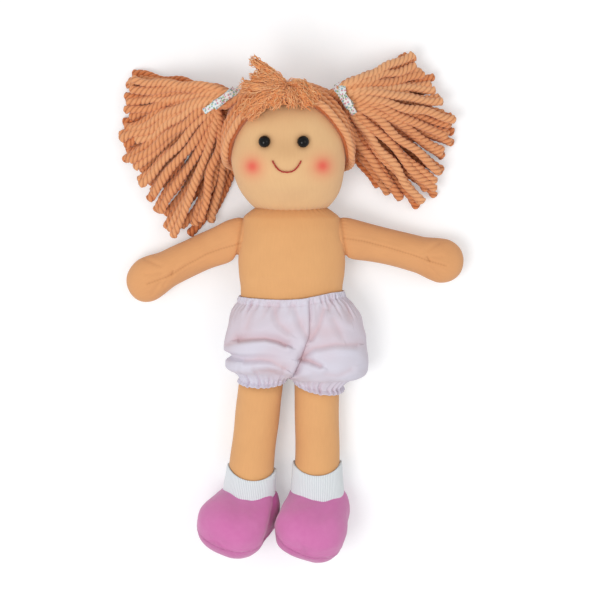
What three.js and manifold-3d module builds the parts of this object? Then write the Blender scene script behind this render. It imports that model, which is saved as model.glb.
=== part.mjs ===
// A soft rag doll lying on its back, in bloomers, socks and shoes, with two bunches of yarn hair.
// Millimetres. +Z is up, out of the doll's front, +Y runs towards its head, and +X is its own left.
// The origin is on the flat rest face in the middle of its back.

import * as THREE from 'three';
import { mergeVertices } from 'three/addons/utils/BufferGeometryUtils.js';
import Module from 'manifold-3d';

const wasm = await Module();
wasm.setup();

// Cloth, clearances and the flat that a resting form is cut to
const skinWall = 1.0;
const clothWall = 0.9;
const gap = 0.3;
const restFlat = 0.5;

// Head: a ball with a wide underside, open at the neck seam
const headMidX = -2;
const headMidY = 76;
const headHalfWidth = 39.3;
const headHalfDepth = 32.5;
const headCrownReach = 42;
const headChinReach = 45;
const headFullness = 2.2;

// Neck seam between head and torso
const neckSeamY = 38;
const neckHalfWidth = 25;
const neckHalfDepth = 12;
const neckHeight = 26;

// Torso: a tapering sack, open at the neck, sewn flat at the hips
const shoulderDrop = 7;
const shoulderHalfWidth = 33.6;
const chestHalfWidth = 37.4;
const waistHalfWidth = 35.6;
const hipHalfWidth = 36.5;
const bodyHalfDepth = 24;
const waistHalfDepth = 21.4;
const waistY = -24;
const hipSeamY = -66;
const hipSeamHeight = 17;
const seamHalfDepth = 2;

// Arms: equal lengths, laid out at two angles below level
const armLength = 87;
const armRootHalfWidth = 14.2;
const armMidHalfWidth = 12.6;
const handHalfWidth = 15.6;
const armHalfDepth = 13;
const shoulderSeamY = 17.6;
const shoulderSeamHeight = 24;
const seamTilt = THREE.MathUtils.degToRad(7.5);
const armDroop = { left: THREE.MathUtils.degToRad(13.5), right: THREE.MathUtils.degToRad(24) };

// Legs: equal lengths from the hip seam to the shoe's mouth
const legLength = 96;
const legHalfWidth = 15.7;
const legHalfDepth = 15.3;
const legRootX = { left: 17.6, right: -19.6 };
const legSplay = { left: THREE.MathUtils.degToRad(0.4), right: THREE.MathUtils.degToRad(6.2) };

// Socks and shoes
const sockWall = 1.4;
const sockHeight = 17;
const footHalfWidth = 25.5;
const heelHalfWidth = 19;
const footHalfThickness = 22;
const footLength = 62;
const footReach = 12;
const footTilt = THREE.MathUtils.degToRad(30);
const footLean = { left: THREE.MathUtils.degToRad(-4), right: THREE.MathUtils.degToRad(14) };
const shoeWall = 1.2;
const footFullness = 2.4;
const heelRise = 2;
const soleThickness = 2.8;
const soleOffset = 17.5;

// Bloomers: gathered at the waist and at both cuffs
const elasticWidth = 5;
const elasticWall = 0.8;
const cuffDistance = 20;
const bloomersHipHalfWidth = 46;
const bloomersHalfDepth = 27;
const puffReach = { left: 33.4, right: 28.6 };
const crotchReach = 18.6;
const puffHalfDepth = 25;
const gatherDepth = 0.7;
const cuffFlare = 0.4;
const waistGathers = 7;
const cuffGathers = 5;
const frontSeamTopX = 12.3;
const frontSeamTurnY = -56;
const frontSeamCuffX = -0.95;
const frontSeamCuffY = -72;

// Eyes, their washers and the stitched mouth
const eyeRadius = 4;
const eyeDome = 3.4;
const stemRadius = 1.5;
const stemLength = 7;
const washerRadius = 5;
const washerThickness = 1.2;
const eyeY = 84.8;
const eyeX = { left: 8.1, right: -18.2 };
const mouthHalfWidth = 9.7;
const mouthMidX = -3;
const mouthCornerY = 72;
const mouthDip = 7.8;
const threadRadius = 0.5;

// Hair: a yarn cap, two bunches held by ties, and a fringe
const capThickness = 6.5;
const capEdgeHeight = 46;
const capEdgeSlope = 0.6;
const capHemY = 47;
const knotRadius = 10;
const knotSeatY = 106;
const knotSeatHeight = 37;
const knotSettle = 0.7;
const tieWall = 1;
const tieSink = 0.8;
const tieWidth = 7;
const tieTailLength = 17;
const tieTailHeadings = [24, -24];
const tailWave = [0, 1.7, 1.6, 0.6, -0.6];
const yarnRadius = 4;
const bunchLayers = 2;
const strandsPerLayer = 8;
const strandSides = 5;
const strandSteps = 3;
const strandShortening = 4;
const layerRise = 2.3;
const bendShare = 0.45;
const bendHeightShare = 0.62;
const fan = {
  left: { from: 38, to: -62, near: 53, far: 90 },
  right: { from: 19, to: -81, near: 64, far: 88 },
};
const fringeRootX = 8;
const fringeRootY = 112;
const fringeLock = 4.2;
const fringeLift = 5;

// Colours as they look in plain light
const colours = {
  skin: '#e4ac74', stuffing: '#f4f1ea', yarn: '#d79d6e', fringe: '#d08a55', cotton: '#ecebf5',
  elastic: '#ffffff', ribbon: '#eef0ea', pink: '#d876c4', sole: '#c765b4', sock: '#f0f1f3',
  eye: '#0c0c10', washer: '#dcdcdc', thread: '#a8322c',
};

const doll = new THREE.Group();
const vec = (x, y, z) => new THREE.Vector3(x, y, z);
const fringeTips = [
  vec(-24, 139, 56), vec(-35, 122, 54), vec(-31, 102, 62), vec(21, 116, 62), vec(28, 108, 58),
];
const UP = vec(0, 0, 1);
const BIG = 600;

// Sides of the round forms
const headSides = 20;
const torsoSides = 18;
const limbSides = 14;
const shoeSides = 14;
const sockSides = 14;

// Adds one named sub-part with its own material.
function addPart(name, geometry, colour, roughness = 0.9) {
  const material = new THREE.MeshStandardMaterial({ color: colour, roughness, metalness: 0 });
  const mesh = new THREE.Mesh(geometry, material);
  mesh.name = name;
  doll.add(mesh);
}

// Points of one section: a superellipse of half-width a along u and half-depth b along v.
function sectionPoints(section, sides) {
  const points = [];
  const exponent = 2 / (section.power ?? 2);
  for (let k = 0; k < sides; k += 1) {
    const angle = (2 * Math.PI * k) / sides;
    const c = Math.cos(angle);
    const s = Math.sin(angle);
    const ripple = section.ripple ? section.ripple(angle) : 0;
    const point = section.centre.clone();
    point.addScaledVector(section.u, (section.a + ripple) * Math.sign(c) * Math.abs(c) ** exponent);
    point.addScaledVector(section.v, (section.b + ripple) * Math.sign(s) * Math.abs(s) ** exponent);
    points.push(point);
  }
  return points;
}

// Volume inside a triangle list, positive when the faces point out.
function signedVolume(points, faces) {
  let sum = 0;
  for (const [a, b, c] of faces) {
    sum += points[a].dot(points[b].clone().cross(points[c])) / 6;
  }
  return sum;
}

// Indexed geometry from points and triangles, turned to face outwards.
function solidGeometry(points, faces) {
  const outward = signedVolume(points, faces) > 0;
  const index = faces.flatMap(([a, b, c]) => (outward ? [a, b, c] : [a, c, b]));
  const geometry = new THREE.BufferGeometry();
  geometry.setAttribute('position', new THREE.Float32BufferAttribute(points.flatMap((p) => p.toArray()), 3));
  geometry.setIndex(index);
  return geometry;
}

// Skins a row of rings. With two end points it is closed by fans, without them it loops back on itself.
function skinRings(rings, ends) {
  const sides = rings[0].length;
  const points = rings.flat();
  const faces = [];
  const last = ends ? rings.length - 1 : rings.length;
  for (let i = 0; i < last; i += 1) {
    const next = (i + 1) % rings.length;
    for (let k = 0; k < sides; k += 1) {
      const across = (k + 1) % sides;
      faces.push([i * sides + k, i * sides + across, next * sides + across]);
      faces.push([i * sides + k, next * sides + across, next * sides + k]);
    }
  }
  if (ends) {
    const first = points.length;
    points.push(ends[0], ends[1]);
    const top = (rings.length - 1) * sides;
    for (let k = 0; k < sides; k += 1) {
      const across = (k + 1) % sides;
      faces.push([first, across, k]);
      faces.push([first + 1, top + k, top + across]);
    }
  }
  return solidGeometry(points, faces);
}

// The same section with its outline moved in by a distance.
function insetSection(section, distance) {
  return { ...section, a: section.a - distance, b: section.b - distance };
}

// A solid through the sections, closed at both ends by the given points.
function loft(sections, sides, start, end) {
  return skinRings(sections.map((section) => sectionPoints(section, sides)), [start, end]);
}

// A cloth tube, open at both ends, with its wall measured inwards.
function sleeve(sections, sides, wall) {
  const outer = sections.map((section) => sectionPoints(section, sides));
  const inner = sections.map((section) => sectionPoints(insetSection(section, wall), sides));
  return skinRings([...outer, ...inner.reverse()], null);
}

// A cloth bag with its mouth at the first section and its closed end at the tip.
function bag(sections, sides, wall, tip, inward) {
  const outer = sections.map((section) => sectionPoints(section, sides)).reverse();
  const inner = sections.map((section) => sectionPoints(insetSection(section, wall), sides));
  const innerTip = tip.clone().addScaledVector(inward, wall);
  return skinRings([...outer, ...inner], [tip, innerTip]);
}

// Boolean work: geometry to solid and back.
function toSolid(geometry) {
  const bare = new THREE.BufferGeometry();
  bare.setAttribute('position', geometry.getAttribute('position').clone());
  if (geometry.index) {
    bare.setIndex(geometry.index.clone());
  }
  const merged = mergeVertices(bare, 1e-4);
  const vertProperties = new Float32Array(merged.getAttribute('position').array);
  const triVerts = new Uint32Array(merged.index.array);
  return new wasm.Manifold(new wasm.Mesh({ numProp: 3, vertProperties, triVerts }));
}

function toGeometry(solid) {
  const mesh = solid.getMesh();
  const geometry = new THREE.BufferGeometry();
  const positions = Float32Array.from(mesh.vertProperties);
  geometry.setAttribute('position', new THREE.Float32BufferAttribute(positions, 3));
  geometry.setIndex(Array.from(mesh.triVerts));
  return geometry;
}

// A large block that fills everything on the far side of a plane.
function halfSpace(point, normal) {
  const geometry = new THREE.BoxGeometry(BIG, BIG, BIG);
  geometry.translate(0, 0, BIG / 2);
  geometry.applyQuaternion(new THREE.Quaternion().setFromUnitVectors(UP, normal.clone().normalize()));
  geometry.translate(point.x, point.y, point.z);
  return toSolid(geometry);
}

const aboveFloor = halfSpace(vec(0, 0, 0), UP);

// Cuts a form flat where it rests on the floor.
function restOnFloor(geometry) {
  return toGeometry(toSolid(geometry).intersect(aboveFloor));
}

// Smooth sizes along a form, from rows of a position and its values.
function sizesAlong(rows) {
  const width = rows[0].length - 1;
  const positions = rows.map((row) => row[0]);
  const values = rows.flatMap((row) => row.slice(1));
  const curve = new THREE.CubicInterpolant(positions, values, width);
  return (position) => Array.from(curve.evaluate(position));
}

// Even steps from one value to another, both included.
function steps(from, to, count) {
  return Array.from({ length: count + 1 }, (_, i) => from + ((to - from) * i) / count);
}

// Head: share of the full width at a place along Y, then the section there, grown by a thickness.
const headMidHeight = headHalfDepth + gap + capThickness - restFlat;

function headFill(y, grow) {
  const reach = (y < headMidY ? headChinReach : headCrownReach) + grow;
  const share = Math.min(Math.abs(y - headMidY) / reach, 1);
  return (1 - share ** headFullness) ** (1 / headFullness);
}

function headSection(y, grow = 0) {
  const fill = headFill(y, grow);
  const neckFill = headFill(neckSeamY, 0);
  const towardsNeck = y < headMidY ? ((headMidY - y) / (headMidY - neckSeamY)) ** 2 : 0;
  const widthAtNeck = neckHalfWidth - headHalfWidth * neckFill;
  const depthAtNeck = neckHalfDepth - headHalfDepth * neckFill;
  return {
    centre: vec(headMidX * (1 - towardsNeck), y, headMidHeight + (neckHeight - headMidHeight) * towardsNeck),
    u: vec(1, 0, 0),
    v: UP,
    a: (headHalfWidth + grow) * fill + widthAtNeck * towardsNeck,
    b: (headHalfDepth + grow) * fill + depthAtNeck * towardsNeck,
  };
}

// Places along Y for the head's rings: even below the middle, closer together towards the crown.
function headRings(from, grow, below, above) {
  const crown = headCrownReach + grow;
  const lower = steps(from, headMidY, below);
  const upper = steps(0, 74, above).slice(1).map((degrees) => (
    headMidY + crown * Math.sin(THREE.MathUtils.degToRad(degrees))));
  return [...lower, ...upper];
}

function crownPoint(grow) {
  return vec(headMidX, headMidY + headCrownReach + grow, headMidHeight);
}

// A full solid of the head's shape, from a place along Y to the crown.
function headSolid(from, grow, sides, below, above) {
  const sections = headRings(from, grow, below, above).map((y) => headSection(y, grow));
  return toSolid(loft(sections, sides, sections[0].centre, crownPoint(grow)));
}

// The front of the head, and the way it faces, over a point of the plan.
function facePoint(x, y, grow = 0) {
  const section = headSection(y, grow);
  const across = (x - section.centre.x) / section.a;
  return vec(x, y, section.centre.z + section.b * Math.sqrt(Math.max(0, 1 - across * across)));
}

function faceNormal(x, y, grow = 0) {
  const reach = 0.5;
  const alongX = facePoint(x + reach, y, grow).sub(facePoint(x - reach, y, grow));
  const alongY = facePoint(x, y + reach, grow).sub(facePoint(x, y - reach, grow));
  return alongX.cross(alongY).normalize();
}

// A turned piece from a profile of radius and height, set with its axis along a direction.
function turned(profile, segments, place, direction) {
  const points = profile.map(([radius, height]) => new THREE.Vector2(radius, height));
  const geometry = new THREE.LatheGeometry(points, segments);
  geometry.applyQuaternion(new THREE.Quaternion().setFromUnitVectors(vec(0, 1, 0), direction));
  geometry.translate(place.x, place.y, place.z);
  return geometry;
}

// A plain round rod between two depths on an axis.
function rod(place, direction, radius, from, to, segments = 12) {
  return turned([[0, from], [radius, from], [radius, to], [0, to]], segments, place, direction);
}

// Head skin, stuffing, eyes and washers
const washerSeat = skinWall + 3 * gap;
const fillInset = skinWall + gap;
const headRows = [neckSeamY + gap / 2, ...headRings(neckSeamY + fillInset, 0, 4, 5)];
const headSections = headRows.map((y) => headSection(y));
const headBag = bag(headSections, headSides, skinWall, crownPoint(0), vec(0, -1, 0));
const headFilling = headRows.slice(1).map((y) => insetSection(headSection(y), fillInset));
let headSkin = toSolid(headBag);
let headStuffing = toSolid(loft(headFilling, headSides, headFilling[0].centre, headFilling.at(-1).centre));
for (const side of ['left', 'right']) {
  const place = facePoint(eyeX[side], eyeY);
  const outward = faceNormal(eyeX[side], eyeY);
  const dome = steps(0, 90, 4).map((degrees) => {
    const angle = THREE.MathUtils.degToRad(degrees);
    return [eyeRadius * Math.cos(angle), gap + eyeDome * Math.sin(angle)];
  });
  dome[dome.length - 1][0] = 0;
  const eyeProfile = [[0, -stemLength], [stemRadius, -stemLength], [stemRadius, gap], ...dome];
  addPart(`${side}_eye`, turned(eyeProfile, 12, place, outward), colours.eye, 0.15);
  const bore = stemRadius + gap / 2;
  const low = -washerSeat - washerThickness;
  const washerProfile = [
    [bore, low], [washerRadius, low], [washerRadius, -washerSeat], [bore, -washerSeat], [bore, low],
  ];
  addPart(`${side}_eye_washer`, turned(washerProfile, 12, place, outward), colours.washer, 0.5);
  headSkin = headSkin.subtract(toSolid(rod(place, outward, stemRadius + gap, -skinWall * 2, skinWall * 2)));
  headStuffing = headStuffing
    .subtract(toSolid(rod(place, outward, washerRadius + gap, low - gap, skinWall)))
    .subtract(toSolid(rod(place, outward, stemRadius + gap, -stemLength - gap, skinWall)));
}
addPart('head_skin', toGeometry(headSkin), colours.skin);
addPart('head_stuffing', toGeometry(headStuffing), colours.stuffing);

// A round strand along a curve, with its radius set by the share of its length.
function strand(curve, radiusAt, sides, count) {
  const sections = steps(0, 1, count).map((share) => {
    const centre = curve.getPoint(share);
    const tangent = curve.getTangent(share);
    const helper = Math.abs(tangent.z) > 0.9 ? vec(0, 1, 0) : UP;
    const u = tangent.clone().cross(helper).normalize();
    const v = u.clone().cross(tangent).normalize();
    const radius = radiusAt(share);
    return { centre, u, v, a: radius, b: radius };
  });
  return loft(sections, sides, sections[0].centre, sections[count].centre);
}

// The mouth: one thread laid on the face in a shallow arc
const mouthPoints = steps(-1, 1, 10).map((share) => {
  const x = mouthMidX + mouthHalfWidth * share;
  const y = mouthCornerY - mouthDip * (1 - share * share);
  return facePoint(x, y).addScaledVector(faceNormal(x, y), gap + threadRadius);
});
const mouthCurve = new THREE.CatmullRomCurve3(mouthPoints);
addPart('mouth_stitch', strand(mouthCurve, () => threadRadius, 6, 12), colours.thread);

// Yarn cap: a shell over the back and crown, its front edge rising towards the forehead
const capOuterGrow = gap + capThickness;
const capEdge = halfSpace(vec(0, headMidY, capEdgeHeight), vec(0, -capEdgeSlope, 1));
const cap = headSolid(capHemY, capOuterGrow, headSides, 4, 5)
  .subtract(headSolid(capHemY - 4, gap, headSides, 4, 5))
  .subtract(capEdge)
  .intersect(aboveFloor);
addPart('hair_cap', toGeometry(cap), colours.yarn);

// Torso
const bodyMidHeight = bodyHalfDepth - restFlat;
const torsoSizes = sizesAlong([
  [hipSeamY, hipHalfWidth - 1, seamHalfDepth, hipSeamHeight],
  [hipSeamY + 6, hipHalfWidth, seamHalfDepth + 3.2, hipSeamHeight + 0.6],
  [hipSeamY + 16, hipHalfWidth, bodyHalfDepth * 0.54, hipSeamHeight + 2.6],
  [hipSeamY + 30, waistHalfWidth + 0.6, waistHalfDepth - 1.6, hipSeamHeight + 5.6],
  [waistY - 5, waistHalfWidth, waistHalfDepth, bodyMidHeight + 0.4],
  [waistY + 5, waistHalfWidth, waistHalfDepth, bodyMidHeight + 0.4],
  [waistY + 16, chestHalfWidth - 0.6, bodyHalfDepth, bodyMidHeight],
  [shoulderSeamY - 12, chestHalfWidth, bodyHalfDepth, bodyMidHeight],
  [shoulderSeamY + 3, chestHalfWidth - 1.8, bodyHalfDepth - 0.8, bodyMidHeight],
  [neckSeamY - shoulderDrop, shoulderHalfWidth, bodyHalfDepth - 5, bodyMidHeight + 0.8],
  [neckSeamY - 3, (shoulderHalfWidth + neckHalfWidth) / 2, neckHalfDepth + 3, neckHeight - 0.8],
  [neckSeamY, neckHalfWidth, neckHalfDepth, neckHeight],
]);

function torsoSection(y, grow = 0) {
  const [halfWidth, halfDepth, height] = torsoSizes(y);
  return { centre: vec(0, y, height), u: vec(1, 0, 0), v: UP, a: halfWidth + grow, b: halfDepth + grow };
}

const torsoRows = [
  neckSeamY - gap / 2, neckSeamY - 3, neckSeamY - shoulderDrop, shoulderSeamY + 3, shoulderSeamY - 12,
  waistY + 16, waistY + 4, waistY - 4, hipSeamY + 30, hipSeamY + 16, hipSeamY + 6, hipSeamY,
];
const torsoEnd = vec(0, hipSeamY - gap, hipSeamHeight);
const torsoBag = bag(torsoRows.map((y) => torsoSection(y)), torsoSides, skinWall, torsoEnd, vec(0, 1, 0));
addPart('torso_skin', restOnFloor(torsoBag), colours.skin);
const torsoFill = torsoRows.slice(1, -1).map((y) => torsoSection(y, -fillInset));
const torsoStuffing = loft(torsoFill, torsoSides, torsoFill[0].centre, torsoFill.at(-1).centre);
addPart('torso_stuffing', torsoStuffing, colours.stuffing);

// Arms: flat where they are sewn to the torso, swelling to a rounded hand
const armSizes = sizesAlong([
  [0, armRootHalfWidth, seamHalfDepth - 0.2, shoulderSeamHeight],
  [5, armRootHalfWidth, seamHalfDepth + 0.1, shoulderSeamHeight - 0.3],
  [10, armRootHalfWidth - 0.5, 4.4, shoulderSeamHeight - 1.6],
  [16, armRootHalfWidth - 1, 8, shoulderSeamHeight - 4.4],
  [24, armMidHalfWidth + 0.2, armHalfDepth - 2.2, armHalfDepth + 2.6],
  [36, armMidHalfWidth, armHalfDepth - 0.4, armHalfDepth + 0.4],
  [54, armMidHalfWidth + 0.3, armHalfDepth, armHalfDepth - restFlat],
  [70, handHalfWidth - 0.3, armHalfDepth, armHalfDepth - restFlat],
  [armLength - 8, handHalfWidth - 0.8, armHalfDepth - 0.8, armHalfDepth - restFlat],
  [armLength - 3, handHalfWidth - 4.8, armHalfDepth - 3.8, armHalfDepth - restFlat],
  [armLength - 0.8, handHalfWidth - 9, armHalfDepth - 7, armHalfDepth - restFlat],
]);
const limbTurnLength = 18;
const shoulderX = torsoSizes(shoulderSeamY)[0] + 2 * gap;

function armFrame(side) {
  const sign = side === 'left' ? 1 : -1;
  const droop = armDroop[side];
  return {
    root: vec(sign * shoulderX, shoulderSeamY, 0),
    along: vec(sign * Math.cos(droop), -Math.sin(droop), 0),
    across: vec(sign * Math.sin(droop), Math.cos(droop), 0),
    seam: vec(-sign * Math.sin(seamTilt), Math.cos(seamTilt), 0),
  };
}

function armSection(frame, distance, grow = 0) {
  const [halfWidth, halfDepth, height] = armSizes(distance);
  const turn = Math.min(distance / limbTurnLength, 1);
  const u = frame.seam.clone().lerp(frame.across, turn).normalize();
  const centre = frame.root.clone().addScaledVector(frame.along, distance).setZ(height);
  return { centre, u, v: UP, a: halfWidth + grow, b: halfDepth + grow };
}

for (const side of ['left', 'right']) {
  const frame = armFrame(side);
  const rows = [0, 5, 10, 16, 24, 36, 54, 70, armLength - 8, armLength - 3, armLength - 0.8];
  const sections = rows.map((distance) => armSection(frame, distance));
  const tip = frame.root.clone().addScaledVector(frame.along, armLength).setZ(armHalfDepth - restFlat);
  const skin = bag(sections, limbSides, skinWall, tip, frame.along.clone().negate());
  addPart(`${side}_arm_skin`, restOnFloor(skin), colours.skin);
  const fill = rows.slice(2, -1).map((distance) => armSection(frame, distance, -fillInset));
  const stuffing = loft(fill, limbSides, fill[0].centre, fill.at(-1).centre);
  addPart(`${side}_arm_stuffing`, stuffing, colours.stuffing);
}

// Legs: flat at the hip seam, then even, rising a little to the sock
const ankleHeight = 19;
const legSizes = sizesAlong([
  [0, legHalfWidth + 0.3, seamHalfDepth, hipSeamHeight],
  [5, legHalfWidth + 0.3, seamHalfDepth + 1.4, hipSeamHeight - 0.2],
  [10, legHalfWidth + 0.2, 7, hipSeamHeight - 0.6],
  [15, legHalfWidth + 0.1, 10.6, hipSeamHeight - 1.2],
  [cuffDistance, legHalfWidth, 13.2, hipSeamHeight - 1.8],
  [cuffDistance + 5, legHalfWidth, 14.2, hipSeamHeight - 1],
  [34, legHalfWidth, legHalfDepth, legHalfDepth - restFlat],
  [58, legHalfWidth, legHalfDepth, legHalfDepth - restFlat],
  [legLength - sockHeight, legHalfWidth - 0.1, legHalfDepth - 0.2, ankleHeight - 1],
  [legLength, legHalfWidth - 0.4, legHalfDepth - 0.4, ankleHeight],
]);
const hipGap = 0.5;

function legFrame(side) {
  const sign = side === 'left' ? 1 : -1;
  const splay = legSplay[side];
  return {
    root: vec(legRootX[side], hipSeamY - hipGap - gap, 0),
    along: vec(sign * Math.sin(splay), -Math.cos(splay), 0),
    across: vec(Math.cos(splay), sign * Math.sin(splay), 0),
    outward: sign,
  };
}

function legSection(frame, distance, grow = 0, sideways = 0) {
  const [halfWidth, halfDepth, height] = legSizes(distance);
  const centre = frame.root.clone().addScaledVector(frame.along, distance).setZ(height);
  centre.addScaledVector(frame.across, sideways * frame.outward);
  const u = vec(1, 0, 0).lerp(frame.across, Math.min(distance / limbTurnLength, 1)).normalize();
  return { centre, u, v: UP, a: halfWidth + grow, b: halfDepth + grow };
}

for (const side of ['left', 'right']) {
  const frame = legFrame(side);
  const rows = [legLength, legLength - sockHeight, 58, 34, cuffDistance + 5, cuffDistance, 15, 10, 5, 0];
  const sections = rows.map((distance) => legSection(frame, distance));
  const seamEnd = frame.root.clone().addScaledVector(frame.along, -gap).setZ(hipSeamHeight);
  const skin = bag(sections, limbSides, skinWall, seamEnd, frame.along);
  addPart(`${side}_leg_skin`, restOnFloor(skin), colours.skin);
  const fillRows = [legLength - gap, ...rows.slice(1, -2)];
  const fill = fillRows.map((distance) => legSection(frame, distance, -fillInset));
  const stuffing = loft(fill, limbSides, fill[0].centre, fill.at(-1).centre);
  addPart(`${side}_leg_stuffing`, stuffing, colours.stuffing);
}

// Socks: short ribbed tubes over the ankles
const sockGrow = gap + sockWall;
for (const side of ['left', 'right']) {
  const frame = legFrame(side);
  const rows = [legLength - sockHeight, legLength];
  const sections = rows.map((distance) => legSection(frame, distance, sockGrow));
  addPart(`${side}_sock`, sleeve(sections, sockSides, sockWall), colours.sock);
}

// Shoes: a soft bulb from heel to toe, cut by a flat sole, with a mouth for the sock
const footSizes = sizesAlong([
  [0.02, 7, 7],
  [0.06, heelHalfWidth * 0.62, footHalfThickness * 0.62],
  [0.15, heelHalfWidth * 0.88, footHalfThickness * 0.84],
  [0.3, heelHalfWidth + 1.5, footHalfThickness - 1],
  [0.5, (heelHalfWidth + footHalfWidth) / 2 + 1, footHalfThickness],
  [0.7, footHalfWidth, footHalfThickness - 1],
  [0.84, footHalfWidth * 0.93, footHalfThickness * 0.82],
  [0.94, footHalfWidth * 0.68, footHalfThickness * 0.58],
  [0.985, footHalfWidth * 0.34, footHalfThickness * 0.3],
]);

function footFrame(side) {
  const leg = legFrame(side);
  const lean = footLean[side];
  const upright = vec(-Math.sin(lean), 0, Math.cos(lean));
  const rise = Math.cos(footTilt);
  const fall = Math.sin(footTilt);
  const toe = upright.clone().multiplyScalar(rise).addScaledVector(leg.along, fall);
  const sole = leg.along.clone().multiplyScalar(rise).addScaledVector(upright, -fall);
  const ankle = leg.root.clone().addScaledVector(leg.along, legLength + footReach).setZ(ankleHeight);
  const heel = ankle.clone().addScaledVector(toe, -(ankleHeight - heelRise) / toe.z);
  return { leg, toe, sole: sole.normalize(), across: toe.clone().cross(sole).normalize(), ankle, heel };
}

function footSolid(frame, grow, sides) {
  const shares = [0.02, 0.06, 0.15, 0.3, 0.5, 0.7, 0.84, 0.94, 0.985];
  const sections = shares.map((share) => {
    const [halfWidth, halfDepth] = footSizes(share);
    const centre = frame.heel.clone().addScaledVector(frame.toe, share * (footLength + 2 * grow) - grow);
    const a = halfWidth + grow;
    const b = halfDepth + grow;
    return { centre, u: frame.across, v: frame.sole, a, b, power: footFullness };
  });
  const start = frame.heel.clone().addScaledVector(frame.toe, -grow);
  const end = frame.heel.clone().addScaledVector(frame.toe, footLength + grow);
  return toSolid(loft(sections, sides, start, end));
}

for (const side of ['left', 'right']) {
  const frame = footFrame(side);
  const mouthRows = [legLength - sockHeight, legLength, legLength];
  const mouthSections = mouthRows.map((distance) => legSection(frame.leg, distance, sockGrow + gap));
  mouthSections[2].centre.addScaledVector(frame.leg.along, gap);
  const mouth = toSolid(loft(mouthSections, sockSides, mouthSections[0].centre, mouthSections[2].centre));
  const onSole = (distance) => frame.ankle.clone().addScaledVector(frame.sole, distance);
  const outer = footSolid(frame, 0, shoeSides).intersect(aboveFloor);
  const aboveInsole = halfSpace(vec(0, 0, shoeWall - restFlat), UP);
  const inside = footSolid(frame, -shoeWall, shoeSides).intersect(aboveInsole);
  const belowSole = halfSpace(onSole(soleOffset), frame.sole);
  const upper = outer.subtract(inside).subtract(mouth).subtract(belowSole);
  addPart(`${side}_shoe_upper`, toGeometry(upper), colours.pink, 0.85);
  const soleSlab = halfSpace(onSole(soleOffset + gap), frame.sole)
    .subtract(halfSpace(onSole(soleOffset + gap + soleThickness), frame.sole));
  addPart(`${side}_shoe_sole`, toGeometry(outer.intersect(soleSlab)), colours.sole, 0.85);
  const filling = footSolid(frame, -shoeWall - gap, shoeSides)
    .intersect(halfSpace(vec(0, 0, shoeWall), UP))
    .subtract(halfSpace(onSole(soleOffset - gap), frame.sole))
    .subtract(mouth);
  addPart(`${side}_foot_stuffing`, toGeometry(filling), colours.stuffing);
}

// Elastics: a band round the waist and one round each leg at the cuff
const elasticGrow = gap + elasticWall;
const clothGrow = elasticGrow + gap + clothWall;
const waistBand = [waistY + elasticWidth / 2, waistY - elasticWidth / 2];
const waistSections = waistBand.map((y) => torsoSection(y, elasticGrow));
addPart('waist_elastic', sleeve(waistSections, torsoSides, elasticWall), colours.elastic);
for (const side of ['left', 'right']) {
  const frame = legFrame(side);
  const band = [cuffDistance - elasticWidth / 2, cuffDistance, cuffDistance + elasticWidth / 2];
  const sections = band.map((distance) => legSection(frame, distance, elasticGrow));
  addPart(`${side}_leg_elastic`, sleeve(sections, limbSides, elasticWall), colours.elastic);
}

// Bloomers: one cloth shell from a waist form and two leg forms, parted at the front and back seams
const gathers = (count, share) => (angle) => gatherDepth * share * (1 + Math.cos(count * angle));

function waistForm() {
  const top = torsoSection(waistY + elasticWidth / 2 + 1, clothGrow);
  const band = torsoSection(waistY - elasticWidth / 2, clothGrow);
  const hang = (drop, halfWidth, halfDepth, height, share) => ({
    ...band,
    centre: vec(0, waistY - drop, height),
    a: halfWidth,
    b: halfDepth,
    ripple: gathers(waistGathers, share),
  });
  return [
    top,
    { ...band, ripple: gathers(waistGathers, 0.4) },
    hang(10, bloomersHipHalfWidth - 5.5, bloomersHalfDepth - 1.6, bloomersHalfDepth - 1.6, 1),
    hang(20, bloomersHipHalfWidth - 2, bloomersHalfDepth, bloomersHalfDepth - restFlat, 0.5),
    hang(32, bloomersHipHalfWidth - 1, bloomersHalfDepth - 1, bloomersHalfDepth - 1.2, 0.2),
    hang(40, bloomersHipHalfWidth - 7, bloomersHalfDepth - 5, bloomersHalfDepth - 5, 0),
    hang(46, bloomersHipHalfWidth - 17, bloomersHalfDepth - 14, bloomersHalfDepth - 9, 0),
  ];
}

function cuffForm(side) {
  const frame = legFrame(side);
  const full = (distance, reachShare, depthLoss, share) => {
    const outer = puffReach[side] * reachShare;
    const section = legSection(frame, Math.max(distance, 0), 0, (outer - crotchReach) / 2);
    const b = puffHalfDepth - depthLoss;
    section.centre.addScaledVector(frame.along, Math.min(distance, 0)).setZ(b - restFlat);
    return { ...section, a: (outer + crotchReach) / 2, b, ripple: gathers(cuffGathers, share) };
  };
  const start = cuffDistance - elasticWidth / 2;
  const end = cuffDistance + elasticWidth / 2;
  return [
    full(-16, 0.93, 2.5, 0),
    full(-7, 1, 0.5, 0),
    full(2, 1, 0, 0.2),
    full(9, 0.98, 1.5, 0.6),
    full(14, 0.82, 5, 0.8),
    { ...legSection(frame, start, clothGrow), ripple: gathers(cuffGathers, 0.2) },
    { ...legSection(frame, cuffDistance, clothGrow), ripple: gathers(cuffGathers, 0.2) },
    { ...legSection(frame, end, clothGrow), ripple: gathers(cuffGathers, 0.2) },
    { ...legSection(frame, end + 3, clothGrow + cuffFlare), ripple: gathers(cuffGathers, 0.6) },
  ];
}

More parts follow.
